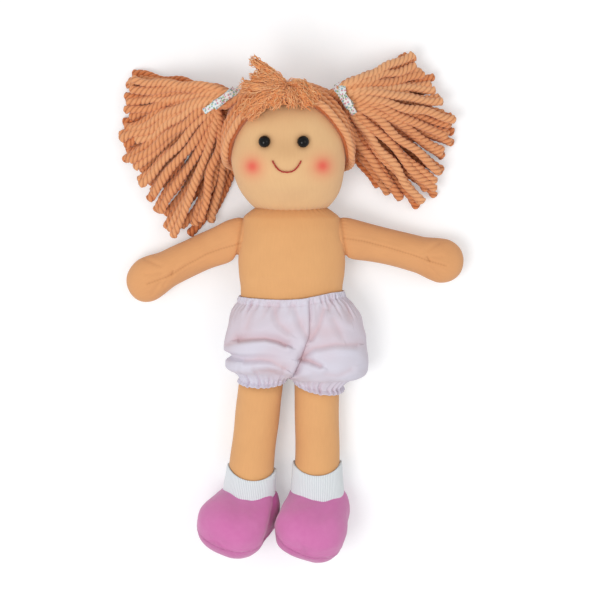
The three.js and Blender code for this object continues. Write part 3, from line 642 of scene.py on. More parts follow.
class Builder:
    """Puts finished surfaces into Blender and ties them to the model."""

    @staticmethod
    def faces(sheet: Sheet, start: int) -> tuple[list[Array], list[Array]]:
        """A sheet's faces as point numbers, with the corners' places on its map.

        Args:
            sheet: The surface.
            start: Number of its first point in the mesh.

        Returns:
            Groups of faces and their corners' map places, four or three corners to a face.
        """
        rows, columns = sheet.points.shape[:2]
        uv = sheet.uv if sheet.uv is not None else sheet.lengths()
        count = columns if sheet.closed else columns - 1
        i, j = np.meshgrid(np.arange(rows - 1), np.arange(count), indexing="ij")
        across = (j + 1) % columns
        upper, lower = i * columns, (i + 1) * columns
        quads = np.stack([upper + j, upper + across, lower + across, lower + j], -1)
        spots = np.stack([uv[i, j], uv[i, j + 1], uv[i + 1, j + 1], uv[i + 1, j]], -2)
        groups = [quads.reshape(-1, 4) + start]
        maps = [spots.reshape(-1, 4, 2)]
        total = rows * columns
        j = np.arange(columns)
        across = (j + 1) % columns
        for row, order in ((0, -1), (rows - 1, 1)) if sheet.capped else ():
            pole = np.full(columns, total)
            rim = [row * columns + j, row * columns + across][::order]
            groups.append(np.stack([pole, *rim], -1) + start)
            middle = uv[row].mean(axis=0)
            maps.append(np.stack([np.tile(middle, (columns, 1)), uv[row, j], uv[row, j]], -2))
            total += 1
        return groups, maps

    @staticmethod
    def with_poles(sheet: Sheet, values: Array) -> Array:
        """Values on a sheet's grid one after the other, then the mean of the rim for each cap's pole."""
        flat = [values.reshape(-1, *values.shape[2:])]
        if sheet.capped:
            flat.extend(values[row].mean(axis=0, keepdims=True) for row in (0, -1))
        return np.concatenate(flat)

    @classmethod
    def mesh(cls, name: str, sheets: Sequence[Sheet], finish: Finish) -> Piece:
        """Makes one object from some surfaces, with its faces outwards.

        Args:
            name: The piece's name.
            sheets: Its surfaces.
            finish: What it is made of.

        Returns:
            The new object, at the origin with its place in its mesh.
        """
        points: list[Array] = []
        faces: list[Array] = []
        maps: list[Array] = []
        start = 0
        for sheet in sheets:
            own = cls.with_poles(sheet, sheet.points)
            groups, spots = cls.faces(sheet, start)
            if cls.volume(own, groups, start) < 0:
                groups = [group[:, ::-1] for group in groups]
                spots = [spot[:, ::-1] for spot in spots]
            points.append(own)
            faces.extend(groups)
            maps.extend(spots)
            start += len(own)
        mesh = bpy.data.meshes.new(name)
        cls._fill(mesh, np.concatenate(points), faces, maps)
        for number in sorted({key for sheet in sheets for key in sheet.numbers}):
            values = []
            for sheet in sheets:
                own = np.asarray(sheet.numbers.get(number, 0.0), float)
                values.append(cls.with_poles(sheet, np.broadcast_to(own, sheet.points.shape[:2])))
            kept = mesh.attributes.new(number, "FLOAT", "POINT")
            kept.data.foreach_set("value", np.concatenate(values).astype(np.float32))
        mesh.materials.append(finish.material())
        made = bpy.data.objects.new(name, mesh)
        bpy.context.scene.collection.objects.link(made)
        return made

    @staticmethod
    def volume(points: Array, groups: Sequence[Array], start: int) -> float:
        """Six times the volume that some faces enclose, below 0 where they face inwards."""
        total = 0.0
        middle = points.mean(axis=0)
        for group in groups:
            corners = points[group - start] - middle
            for k in range(1, group.shape[1] - 1):
                cross = np.cross(corners[:, k], corners[:, k + 1])
                total += float((corners[:, 0] * cross).sum())
        return total

    @staticmethod
    def _fill(mesh: bpy.types.Mesh, points: Array, faces: Sequence[Array], maps: Sequence[Array]) -> None:
        """Puts points, faces and their map into an empty mesh, shaded smooth."""
        sizes = np.concatenate([np.full(len(group), group.shape[1]) for group in faces])
        corners = np.concatenate([group.reshape(-1) for group in faces])
        mesh.vertices.add(len(points))
        mesh.vertices.foreach_set("co", points.astype(np.float32).reshape(-1))
        mesh.loops.add(len(corners))
        mesh.loops.foreach_set("vertex_index", corners.astype(np.int32))
        mesh.polygons.add(len(sizes))
        mesh.polygons.foreach_set("loop_start", (np.cumsum(sizes) - sizes).astype(np.int32))
        mesh.polygons.foreach_set("use_smooth", np.ones(len(sizes), bool))
        mesh.update(calc_edges=True)
        layer = mesh.uv_layers.new(name="lengths")
        flat = np.concatenate([spots.reshape(-1) for spots in maps])
        layer.data.foreach_set("uv", flat.astype(np.float32))
        mesh.validate()

    @classmethod
    def worn(
        cls, name: str, sheets: Sequence[Sheet], finish: Finish, body: str, *nodes: str
    ) -> Piece:
        """A piece that stands for some of the model's nodes and moves with one of its bodies.

        Args:
            name: The piece's name.
            sheets: Its surfaces.
            finish: What it is made of.
            body: The body that carries it.
            nodes: The nodes that it stands for.

        Returns:
            The new object.
        """
        made = cls.mesh(name, sheets, finish)
        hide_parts(*nodes)
        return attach(made, body)

    @classmethod
    def stuffed(cls, name: str, sheet: Sheet, finish: Finish, fill: float, *nodes: str) -> Piece:
        """Cloth over stuffing, none of it below the floor.

        Args:
            name: The piece's name.
            sheet: The cloth's surface.
            finish: What it is made of.
            fill: How full the stuffing makes it. Not used.
            nodes: The model's nodes that it stands for.

        Returns:
            The new object.
        """
        sheet.points = on_floor(sheet.points)
        made = cls.mesh(name, [sheet], finish)
        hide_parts(*nodes)
        return made

    @staticmethod
    def thicken(piece: Piece, wall: float) -> None:
        """Gives an open sheet of cloth its thickness, inwards."""
        solid = piece.modifiers.new("wall", "SOLIDIFY")
        solid.thickness = wall
        solid.offset = -1.0
        solid.use_even_offset = False


def turns(count: int) -> Array:
    """Angles evenly round a full turn, from 0."""
    return np.arange(count) * (math.tau / count)


def rings(
    centre: Array,
    across: Array,
    up: Array,
    half_width: Array,
    half_depth: Array,
    columns: int,
) -> Array:
    """Elliptic sections: half-width times cosine across, half-depth times sine up.

    Args:
        centre: Each row's centre.
        across: The sideways direction, one for all rows or one for each.
        up: The upward direction, likewise.
        half_width: Each row's half-width.
        half_depth: Each row's half-depth.
        columns: Points round a row, starting at across and going over up.

    Returns:
        Rows of points.
    """
    angle = turns(columns)
    across, up = (np.broadcast_to(way, centre.shape)[:, None, :] for way in (across, up))
    wide = (half_width[:, None] * np.cos(angle))[..., None] * across
    deep = (half_depth[:, None] * np.sin(angle))[..., None] * up
    return centre[:, None, :] + wide + deep


def on_floor(points: Array, height: float = 0.0) -> Array:
    """The same points, none lower than the floor that the doll lies on."""
    kept = points.copy()
    kept[..., 2] = np.maximum(kept[..., 2], height)
    return kept


def evenly(line: Array, count: int) -> Array:
    """A line of points spaced evenly along its own length."""
    length = lengths_along(line)
    at = np.linspace(0, length[-1], count)
    return np.stack([np.interp(at, length, line[:, axis]) for axis in range(3)], -1)


def bezier(corners: Sequence[Array], count: int) -> Array:
    """Points on a cubic Bezier curve: its four corners weighted by (1-t) and t to the third."""
    t = np.linspace(0, 1, count)[:, None]
    a, b, c, d = (np.asarray(corner, float) for corner in corners)
    return (1 - t) ** 3 * a + 3 * (1 - t) ** 2 * t * b + 3 * (1 - t) * t**2 * c + t**3 * d


def beside(line: Array, up: Array = UP) -> tuple[Array, Array]:
    """Two directions square to a line at each point, the first level where up is upright."""
    tangent = unit(np.gradient(line, axis=0))
    first = unit(np.cross(tangent, np.broadcast_to(up, line.shape)))
    return first, np.cross(first, tangent)


@dataclass(frozen=True)
class Ply:
    """How a strand of plied yarn is made up."""

    radius: float = 2.45 * MM
    plies: int = 3
    sides: int = 18
    pitch: float = 12.4 * MM
    depth: float = 0.3

    def strand(self, line: Array, swell: Array | float, tint: float, turn: float, up: Array = UP) -> Sheet:
        """One strand along a line, its columns turning with the twist.

        The outline falls from each ply's crown to the grooves beside it as the 2.4th power of the
        angle from the crown.

        Args:
            line: The strand's middle.
            swell: Share of the full radius along the line.
            tint: How pale the strand is, 0 to 1.
            turn: Where round the strand the first ply starts, in radians.
            up: A direction never along the line, or one for each point.

        Returns:
            The strand, with its tint and grooves as numbers on its points.
        """
        length = lengths_along(line)
        u, v = beside(line, up)
        column = np.arange(self.sides) / self.sides
        groove = np.abs((column * self.plies) % 1.0 - 0.5) * 2.0
        angle = math.tau * (column[None, :] + length[:, None] / self.pitch) + turn
        radius = (self.radius * np.broadcast_to(swell, length.shape))[:, None]
        radius = radius * (1 - self.depth * groove[None, :] ** 2.4)
        wide = (radius * np.cos(angle))[..., None] * u[:, None, :]
        deep = (radius * np.sin(angle))[..., None] * v[:, None, :]
        rim = math.tau * self.radius / MM
        uv = np.zeros((len(line), self.sides + 1, 2))
        uv[..., 0] = np.arange(self.sides + 1) / self.sides * rim
        uv[..., 1] = length[:, None] / MM
        numbers = {
            "strand": np.full((len(line), self.sides), tint),
            # Painted shade in the grooves between plies.
            "groove": np.broadcast_to(groove**3, (len(line), self.sides)),
        }
        return Sheet(line[:, None, :] + wide + deep, uv, capped=True, numbers=numbers)


def rounded_ends(count: int, ends: float, closing: float = 0.35) -> Array:
    """A swell of 1 that closes in at both ends of a strand like a quarter circle.

    Args:
        count: Points along the strand.
        ends: Share of the length that each end takes.
        closing: How narrow the last point is.
    """
    t = np.linspace(0, 1, count)
    near = np.clip(np.minimum(t, 1 - t) / ends, 0, 1)
    return closing + (1 - closing) * np.sqrt(1 - (1 - near) ** 2)


def puckers(y: Array, seam: float, columns: int) -> Array:
    """Small gathers on both sides of the neck seam: 38 waves round the neck."""
    return np.sin(turns(columns) * 38) * 0.16 * MM * bell(y - seam, 4 * MM)[:, None]


@dataclass
class Head:
    """The stuffed head with its eyes, mouth and blush. Its form is a ball with a wide underside."""

    middle: Array = field(default_factory=lambda: np.array([-2.0, 76.0, 38.8]) * MM)
    half_width: float = 39.3 * MM
    half_depth: float = 32.5 * MM
    crown: float = 42 * MM
    chin: float = 45 * MM
    fullness: float = 2.2
    neck_y: float = 38 * MM
    neck_half_width: float = 25 * MM
    neck_half_depth: float = 12 * MM
    neck_height: float = 26 * MM
    eye_radius: float = 4 * MM
    eyes: dict[Side, tuple[float, float]] = by_side((8.1 * MM, 84.8 * MM), (-18.2 * MM, 84.8 * MM))
    cheeks: Pairs = ((21.3 * MM, 68.3 * MM), (-26.6 * MM, 67.8 * MM))
    mouth_middle: float = -3 * MM
    mouth_half: float = 9.7 * MM
    mouth_corner: float = 72 * MM
    mouth_dip: float = 7.8 * MM
    stitches: int = 9

    def drawn_in(self, y: Array) -> Array:
        """How far a place along Y has turned from the ball to the neck: 0 at the middle, 1 at the seam."""
        share = np.clip((self.middle[1] - y) / (self.middle[1] - self.neck_y), 0, None)
        return share**2

    def fill(self, y: Array, grow: float) -> Array:
        """Share of the full width at places along Y: with the share of reach, each to the fullness, 1."""
        reach = np.where(y < self.middle[1], self.chin, self.crown) + grow
        share = np.clip(np.abs(y - self.middle[1]) / reach, 0, 1)
        return (1 - share**self.fullness) ** (1 / self.fullness)

    def section(self, y: Array, grow: float = 0.0) -> tuple[Array, Array, Array, Array]:
        """The ellipse of the head at places along Y.

        Args:
            y: Places along Y.
            grow: How far outside the skin.

        Returns:
            Centre X, centre Z, half-width and half-depth.
        """
        fill = self.fill(y, grow)
        at_neck = float(self.fill(np.array([self.neck_y]), 0.0)[0])
        drawn = self.drawn_in(y)
        wide = (self.half_width + grow) * fill + (self.neck_half_width - self.half_width * at_neck) * drawn
        deep = (self.half_depth + grow) * fill + (self.neck_half_depth - self.half_depth * at_neck) * drawn
        x = self.middle[0] * (1 - drawn)
        z = self.middle[2] + (self.neck_height - self.middle[2]) * drawn
        return x, z, wide, deep

    def onto(self, points: Array, grow: float) -> Array:
        """Points carried straight out from the head's middle onto a shell round it.

        The ball is where the share of its reach along Y and the share across, each to the fullness,
        add up to 1; the drawing in to the neck is then applied to the result.

        Args:
            points: Any points that aren't at the middle.
            grow: How far the shell lies outside the skin.

        Returns:
            Points on the shell.
        """
        offset = points - self.middle
        reach = np.where(offset[..., 1] < 0, self.chin, self.crown) + grow
        wide, deep = self.half_width + grow, self.half_depth + grow
        level = np.hypot(offset[..., 0] / wide, offset[..., 2] / deep)
        size = np.abs(offset[..., 1] / reach) ** self.fullness + level**self.fullness
        size = size ** (1 / self.fullness)
        ball = offset / size[..., None]
        y = self.middle[1] + ball[..., 1]
        fill = np.maximum(self.fill(y, grow), 1e-6)
        cosine = ball[..., 0] / (wide * fill)
        sine = ball[..., 2] / (deep * fill)
        x, z, wide, deep = self.section(y, grow)
        return np.stack([x + wide * cosine, y, z + deep * sine], -1)

    def face(self, x: Array, y: Array, grow: float = 0.0) -> Array:
        """Points on the front of the head over places of the plan."""
        middle, height, wide, deep = self.section(np.asarray(y, float), grow)
        share = np.clip(1 - ((x - middle) / wide) ** 2, 0, 1)
        return np.stack([x + 0 * middle, y + 0 * middle, height + deep * np.sqrt(share)], -1)

    def face_normal(self, x: Array, y: Array) -> Array:
        """The way the front of the head faces over places of the plan."""
        reach = 0.5 * MM
        side = self.face(x + reach, y) - self.face(x - reach, y)
        rise = self.face(x, y + reach) - self.face(x, y - reach)
        return unit(np.cross(side, rise))

    def mouth_line(self, count: int) -> Array:
        """Plan of the mouth: a shallow bowl between its corners, a little squarer than a parabola."""
        share = np.sin(np.linspace(-math.pi / 2, math.pi / 2, count))
        return np.stack([
            self.mouth_middle + self.mouth_half * share,
            self.mouth_corner - self.mouth_dip * (1 - np.abs(share) ** 2.7),
        ], -1)

    def skin(self) -> Piece:
        """The head's cloth: dimples round the eyes, a line sunk under the mouth, puckers at the neck."""
        lower = np.linspace(self.neck_y - 0.3 * MM, self.middle[1], 90)
        upper = self.middle[1] + self.crown * np.sin(np.linspace(0, math.radians(88), 90))[1:]
        y = np.concatenate([lower, upper])
        x, z, wide, deep = self.section(y)
        centre = np.stack([x, y, z], -1)
        points = rings(centre, SIDEWAYS, UP, wide, deep, 240)
        front = ease(self.middle[2], self.middle[2] + 8 * MM, points[..., 2])
        dent = np.zeros(points.shape[:2])
        shade = np.zeros(points.shape[:2])
        for spot in self.eyes.values():
            away = np.hypot(points[..., 0] - spot[0], points[..., 1] - spot[1])
            dent -= 1.5 * MM * bell(away, 6.0 * MM)
            shade += 0.34 * bell(away - 3.4 * MM, 2.4 * MM)
        mouth = to_line(points, self.mouth_line(24))[0]
        dent -= 0.45 * MM * bell(mouth, 1.3 * MM)
        shade += 0.18 * bell(mouth, 1.2 * MM)
        nose = np.hypot((points[..., 0] + 5 * MM) / 1.7, points[..., 1] - 80 * MM)
        shade += 0.24 * bell(nose, 9 * MM)
        shade *= front
        blush = np.zeros(points.shape[:2])
        for spot in self.cheeks:
            away = np.hypot(points[..., 0] - spot[0], points[..., 1] - spot[1])
            blush += (0.52 * bell(away, 8.0 * MM) + 0.36 * bell(away, 4.2 * MM)) * front
        pucker = puckers(y, self.neck_y, 240)
        soft = wander(points, 26 * MM, 11) * 0.3 * MM
        shade += (0.12 * bell(y - self.neck_y, 1.6 * MM))[:, None]
        chin = bell(points[..., 0] - self.middle[0], 17 * MM) * bell(y - self.neck_y, 5 * MM)[:, None]
        points[..., 1] -= 1.7 * MM * chin * ease(24 * MM, 34 * MM, points[..., 2])
        sheet = Sheet(points, numbers={"blush": blush, "shade": shade}, capped=True)
        sheet = sheet.pushed(dent * front + pucker + soft)
        made = Builder.stuffed("head_cloth", sheet, Palette.face, 0.9, "head_skin", "head_stuffing")
        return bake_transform(made)

    def lathe(self, place: Array, way: Array, profile: Array, columns: int) -> Sheet:
        """A turned form: rows of radius and height about an axis.

        Args:
            place: Where height is 0.
            way: The axis.
            profile: Rows of radius and height, from bottom to top.
            columns: Points round each row.

        Returns:
            The closed surface.
        """
        side = unit(np.cross(way, [0.0, 1.0, 0.2]))
        other = np.cross(way, side)
        points = rings(place + profile[:, 1:2] * way, side, other, profile[:, 0], profile[:, 0], columns)
        return Sheet(points, capped=True)

    def eye(self, side: Side) -> Piece:
        """One safety eye: a glossy dome on a stem that goes through the cloth."""
        x, y = np.array(self.eyes[side])
        place = self.face(x, y)
        way = self.face_normal(x, y)
        turn = np.linspace(0, math.radians(86), 18)
        dome = np.stack([self.eye_radius * np.cos(turn), 0.3 * MM + 3.4 * MM * np.sin(turn)], -1)
        stem = np.array([[0.9, -7.0], [1.5, -6.8], [1.5, -1.6], [3.5, -1.5], [3.9, -1.2], [4.0, -0.6]]) * MM
        turned = self.lathe(place, way, np.concatenate([stem, dome]), 40)
        return Builder.worn(f"{side.value}_eye_dome", [turned], Palette.eye, "head", f"{side.value}_eye")

    def mouth(self) -> Piece:
        """The mouth: backstitches end to end, each a short twisted thread that dips into the cloth."""
        plan = self.mouth_line(240)
        x, y = plan[:, 0], plan[:, 1]
        line = evenly(self.face(x, y), 240)
        ply = Ply(radius=0.52 * MM, plies=2, sides=10, pitch=2.0 * MM, depth=0.2)
        sheets = []
        for number in range(self.stitches):
            first = int(number * 240 / self.stitches)
            part = evenly(line[first:first + int(240 / self.stitches) + 3], 16)
            way = self.face_normal(part[:, 0], part[:, 1])
            t = np.linspace(0, 1, 16)
            lift = (-0.35 + 0.75 * np.sin(math.pi * t) ** 0.6) * MM
            part = part + way * lift[:, None]
            sheets.append(ply.strand(part, rounded_ends(16, 0.2), 0.5, number * 1.3, way))
        return Builder.worn("mouth_thread", sheets, Palette.mouth, "head", "mouth_stitch")

    def build(self) -> list[Piece]:
        """Every piece of the face."""
        return [self.skin(), self.eye(Side.LEFT), self.eye(Side.RIGHT), self.mouth()]


@dataclass
class Torso:
    """The stuffed body: a tapering sack, open at the neck and sewn flat across the hips."""

    neck_y: float = 38 * MM
    hip_y: float = -66 * MM
    profile: Rows = (
        (-66, 35.5, 2, 17), (-60, 36.5, 5.2, 17.6), (-50, 36.5, 13, 19.6), (-36, 36.2, 19.8, 22.6),
        (-29, 35.6, 21.4, 23.9), (-19, 35.6, 21.4, 23.9), (-8, 36.8, 24, 23.5), (5.6, 37.4, 24, 23.5),
        (20.6, 35.6, 23.2, 23.5), (31, 33.6, 19, 24.3), (35, 29.3, 15, 25.2), (38, 25, 12, 26),
    )

    def section(self, y: Array) -> tuple[Array, Array, Array]:
        """Half-width, half-depth and height of the middle at places along Y."""
        return tuple(curve_through(np.array(self.profile) * MM, y).T)

    def build(self) -> list[Piece]:
        """The torso's cloth, with armhole seams, a neck seam and soft unevenness."""
        y = np.linspace(self.hip_y, self.neck_y + 2 * MM, 170)
        wide, deep, height = self.section(y)
        inside = ease(self.neck_y - 0.5 * MM, self.neck_y + 2 * MM, y) * 3 * MM
        wide, deep = wide - inside, deep - inside
        centre = np.stack([0 * y, y, height], -1)
        points = rings(centre, SIDEWAYS, UP, wide, deep, 240)
        shade = np.zeros(points.shape[:2])
        dent = wander(points, 30 * MM, 5) * 0.35 * MM
        dent += puckers(y, self.neck_y, 240)
        shade += (0.3 * bell(y - self.neck_y, 3.2 * MM))[:, None]
        for side in Side:
            away = to_line(points, Arm(side).armhole_line())[0]
            dent -= 0.5 * MM * bell(away, 1.5 * MM)
            shade += 0.3 * bell(away, 0.6 * MM) * ease(18 * MM, 26 * MM, points[..., 2])
        numbers = {"shade": np.clip(shade, 0, 0.6), "blush": 0 * shade}
        sheet = Sheet(points, numbers=numbers, capped=True).pushed(dent)
        made = Builder.stuffed("torso_cloth", sheet, Palette.skin, 0.9, "torso_skin", "torso_stuffing")
        return [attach(made, "torso")]


@dataclass
class Arm:
    """A stuffed arm, sewn flat to the shoulder and swelling to a rounded hand.

    It lies below level by its droop, and the hand sags further. Its seams and creases are in
    millimetres along and across it.
    """

    side: Side
    length: float = 87 * MM
    shoulder: tuple[float, float] = (36.669 * MM, 17.6 * MM)
    tilt: float = math.radians(7.5)
    turn_length: float = 18 * MM
    profile: Rows = (
        (-5, 13.6, 8.4, 23.6), (0, 14.2, 8.2, 23.4), (5, 14.3, 8.6, 22.6), (10, 13.9, 9.4, 21),
        (16, 13.3, 10.4, 18.6), (24, 12.8, 11.6, 15.6), (36, 12.6, 12.6, 13.4), (54, 12.9, 13, 12.5),
        (66, 15, 13, 12.5), (74, 15.8, 12.8, 12.5), (88, 15.8, 12.6, 12.5),
    )
    hand: float = 19 * MM
    creases: tuple[Pairs, ...] = (
        ((58, 4), (66, 12)), ((60, 0), (70, 3)), ((62, -6), (72, -12)), ((54, -4), (62, -10)),
    )
    sags: dict[Side, float] = by_side(1.0 * MM, 2.2 * MM)
    droops: dict[Side, float] = by_side(math.radians(13.5), math.radians(24))
    seams: dict[Side, Pairs] = by_side(
        ((0, -0.6), (14, 0.6), (30, 0.2), (50, -1), (62, -2.6), (74, -3)),
        ((0, -4.4), (14, -2.4), (26, -1.7), (41, -3), (54, -5.4), (72, -4)),
    )

    def frame(self) -> tuple[Array, Array, Array, Array]:
        """Root, direction along, direction across, and the seam's direction."""
        sign, droop = self.side.sign, self.droops[self.side]
        root = np.array([sign * self.shoulder[0], self.shoulder[1], 0.0])
        along = np.array([sign * math.cos(droop), -math.sin(droop), 0.0])
        across = np.array([sign * math.sin(droop), math.cos(droop), 0.0])
        seam = np.array([-sign * math.sin(self.tilt), math.cos(self.tilt), 0.0])
        return root, along, across, seam

    def armhole_line(self) -> list[tuple[float, float]]:
        """Plan of the seam where the arm is sewn on."""
        root, _, _, seam = self.frame()
        ends = [root + seam * reach for reach in (-15 * MM, 15 * MM)]
        return [(float(end[0]), float(end[1])) for end in ends]

    def build(self) -> list[Piece]:
        """The arm's cloth: a long seam on its front with a tuck near the hand, and soft creases."""
        root, along, across, seam = self.frame()
        base = np.linspace(-0.052, 0.9, 150) * self.length
        tip = 0.9 + 0.1 * np.sin(np.linspace(0, math.pi / 2, 34))[1:]
        s = np.concatenate([base, tip * self.length])
        wide, deep, height = curve_through(np.array(self.profile) * MM, s).T
        closing = np.clip((self.length - s) / self.hand, 0, 1)
        closing = np.clip(1 - (1 - closing) ** 2.25, 0, 1) ** (1 / 2.1)
        wide = np.maximum(wide * closing, 0.3 * MM)
        deep = np.maximum(deep * closing, 0.3 * MM)
        share = np.clip(s / self.turn_length, 0, 1)[:, None]
        sideways = unit(seam * (1 - share) + across * share)
        centre = root + s[:, None] * along
        centre -= (self.sags[self.side] * ease(38 * MM, self.length, s))[:, None] * across
        centre[:, 2] = height
        points = rings(centre, sideways, UP, wide, deep, 160)
        local = points - root
        reach = local @ along
        offset = local @ across
        flat = np.stack([reach, offset], -1)
        front = ease(0, 5 * MM, points[..., 2] - height[:, None])
        seam_line = np.array(self.seams[self.side]) * MM
        away = to_line(flat, seam_line)[0]
        tuck = to_line(flat, [seam_line[-2] + np.array([-2, 2.4]) * MM, seam_line[-2]])[0]
        dent = wander(points, 22 * MM, 21 + self.side.sign) * 0.35 * MM
        dent -= (0.3 * MM * bell(away, 0.9 * MM) + 0.6 * MM * bell(tuck, 1.5 * MM)) * front
        dent += 0.25 * MM * bell(away - 2.0 * MM, 1.2 * MM) * front
        ticks = (0.5 + 0.5 * np.sin(reach * (math.tau / (2.0 * MM)))) * bell(away, 1.1 * MM)
        shade = (0.2 * bell(away, 0.42 * MM) + 0.14 * ticks + 0.35 * bell(tuck, 0.6 * MM)) * front
        for number, crease in enumerate(self.creases):
            fold = to_line(flat, np.array(crease) * MM)[0]
            dent -= (0.55 - 0.06 * number) * MM * bell(fold, 1.6 * MM) * front
        shade += (0.3 * bell(s + 0.6 * MM, 0.9 * MM))[:, None]
        dent -= (0.9 * MM * bell(s + 0.6 * MM, 1.3 * MM))[:, None]
        stitch = 0.5 + 0.5 * np.sin(offset * (math.tau / (2.2 * MM)))
        dent -= stitch * (0.25 * MM * bell(s - 1.2 * MM, 1.6 * MM))[:, None]
        numbers = {"shade": np.clip(shade, 0, 0.7), "blush": 0 * shade}
        sheet = Sheet(points, numbers=numbers, capped=True).pushed(dent)
        limb = f"{self.side.value}_arm"
        nodes = (f"{limb}_skin", f"{limb}_stuffing")
        made = Builder.stuffed(f"{limb}_cloth", sheet, Palette.arm, 0.85, *nodes)
        end = root + along * 13 * MM
        return [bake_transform(made)]


@dataclass
class Leg:
    """A stuffed leg from the flat hip seam to the ankle."""

    side: Side
    length: float = 96 * MM
    hip_y: float = -66.8 * MM
    turn_length: float = 18 * MM
    hips: dict[Side, float] = by_side(17.6 * MM, -19.6 * MM)
    splays: dict[Side, float] = by_side(math.radians(0.4), math.radians(6.2))
    sock_tops: dict[Side, float] = by_side(75 * MM, 79 * MM)
    sock_end: float = 112 * MM
    sock_wall: float = 1.2 * MM
    sock_ribs: int = 84
    profile: Rows = (
        (0, 16, 2, 17), (5, 16, 3.4, 16.8), (10, 15.9, 7, 16.4), (15, 15.8, 10.6, 15.8),
        (20, 15.7, 13.2, 15.2), (25, 15.7, 14.2, 16), (34, 15.7, 15.3, 14.8), (58, 15.7, 15.3, 14.8),
        (79, 15.6, 15.1, 18), (96, 15.3, 14.9, 19), (104, 15.2, 14.6, 19.4),
    )

    def frame(self) -> tuple[Array, Array, Array]:
        """Root, direction along and direction across."""
        splay = self.splays[self.side]
        root = np.array([self.hips[self.side], self.hip_y, 0.0])
        along = np.array([self.side.sign * math.sin(splay), -math.cos(splay), 0.0])
        across = np.array([math.cos(splay), self.side.sign * math.sin(splay), 0.0])
        return root, along, across

    def sections(self, s: Array, grow: float = 0.0) -> tuple[Array, Array, Array, Array]:
        """Centres, sideways directions, half-widths and half-depths at distances down the leg."""
        root, along, across = self.frame()
        wide, deep, height = curve_through(np.array(self.profile) * MM, s).T
        share = np.clip(s / self.turn_length, 0, 1)[:, None]
        sideways = unit(SIDEWAYS * (1 - share) + across * share)
        centre = root + s[:, None] * along
        centre[:, 2] = height
        return centre, sideways, wide + grow, deep + grow

    def cloth(self) -> Piece:
        """The leg's cloth, running on inside the sock."""
        s = np.linspace(0, 100 * MM, 150)
        centre, sideways, wide, deep = self.sections(s)
        points = rings(centre, sideways, UP, wide, deep, 160)
        dent = wander(points, 24 * MM, 31 + self.side.sign) * 0.3 * MM
        plain = np.zeros(points.shape[:2])
        numbers = {"shade": plain, "blush": plain}
        sheet = Sheet(points, numbers=numbers, capped=True).pushed(dent)
        limb = f"{self.side.value}_leg"
        nodes = (f"{limb}_skin", f"{limb}_stuffing")
        made = Builder.stuffed(f"{limb}_cloth", sheet, Palette.skin, 0.85, *nodes)
        root, along, _ = self.frame()
        end = root + along * 12 * MM
        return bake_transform(made)

    def sock(self) -> Piece:
        """The ribbed sock: its edges dip at the front, with a turned hem at the top."""
        rows, columns = 60, self.sock_ribs * 6
        angle = turns(columns)
        dip = 7.6 * MM * np.clip(np.sin(angle), 0, 1) ** 1.3
        t = np.linspace(0, 1, rows)[:, None]
        top = self.sock_tops[self.side]
        s = top + t * (self.sock_end - top) + dip[None, :] * (1 - 0.5 * t)
        flat_rows = s.reshape(-1)
        centre, sideways, wide, deep = self.sections(flat_rows, 1.9 * MM)
        flare = 1.5 * MM * ease(0.1, 0.7, np.broadcast_to(t, s.shape).reshape(-1))
        wide, deep = wide + flare, deep + 0.4 * flare
        c = np.tile(np.cos(angle), rows)
        h = np.tile(np.sin(angle), rows)
        rib = 0.5 + 0.5 * np.cos(angle * self.sock_ribs)
        roll = bell(t * 30 * MM, 0.9 * MM)
        bulge = np.tile(rib, rows) * 0.34 * MM - (roll * np.ones(columns)).reshape(-1) * 0.5 * MM
        points = centre + ((wide + bulge) * c)[:, None] * sideways + ((deep + bulge) * h)[:, None] * UP
        points = points.reshape(rows, columns, 3)
        # Painted shade in the channels between the ribs, stronger on the front of the leg.
        groove = np.broadcast_to(1 - rib, (rows, columns)) * (0.35 + 0.4 * bell(angle - math.pi / 2, 1.2))
        sheet = Sheet(on_floor(points), numbers={"groove": groove})
        name = self.side.value
        made = Builder.worn(f"{name}_sock_knit", [sheet], Palette.rib, f"{name}_leg", f"{name}_sock")
        Builder.thicken(made, self.sock_wall)
        return made

    def build(self) -> list[Piece]:
        """The leg and its sock."""
        return [self.cloth(), self.sock()]


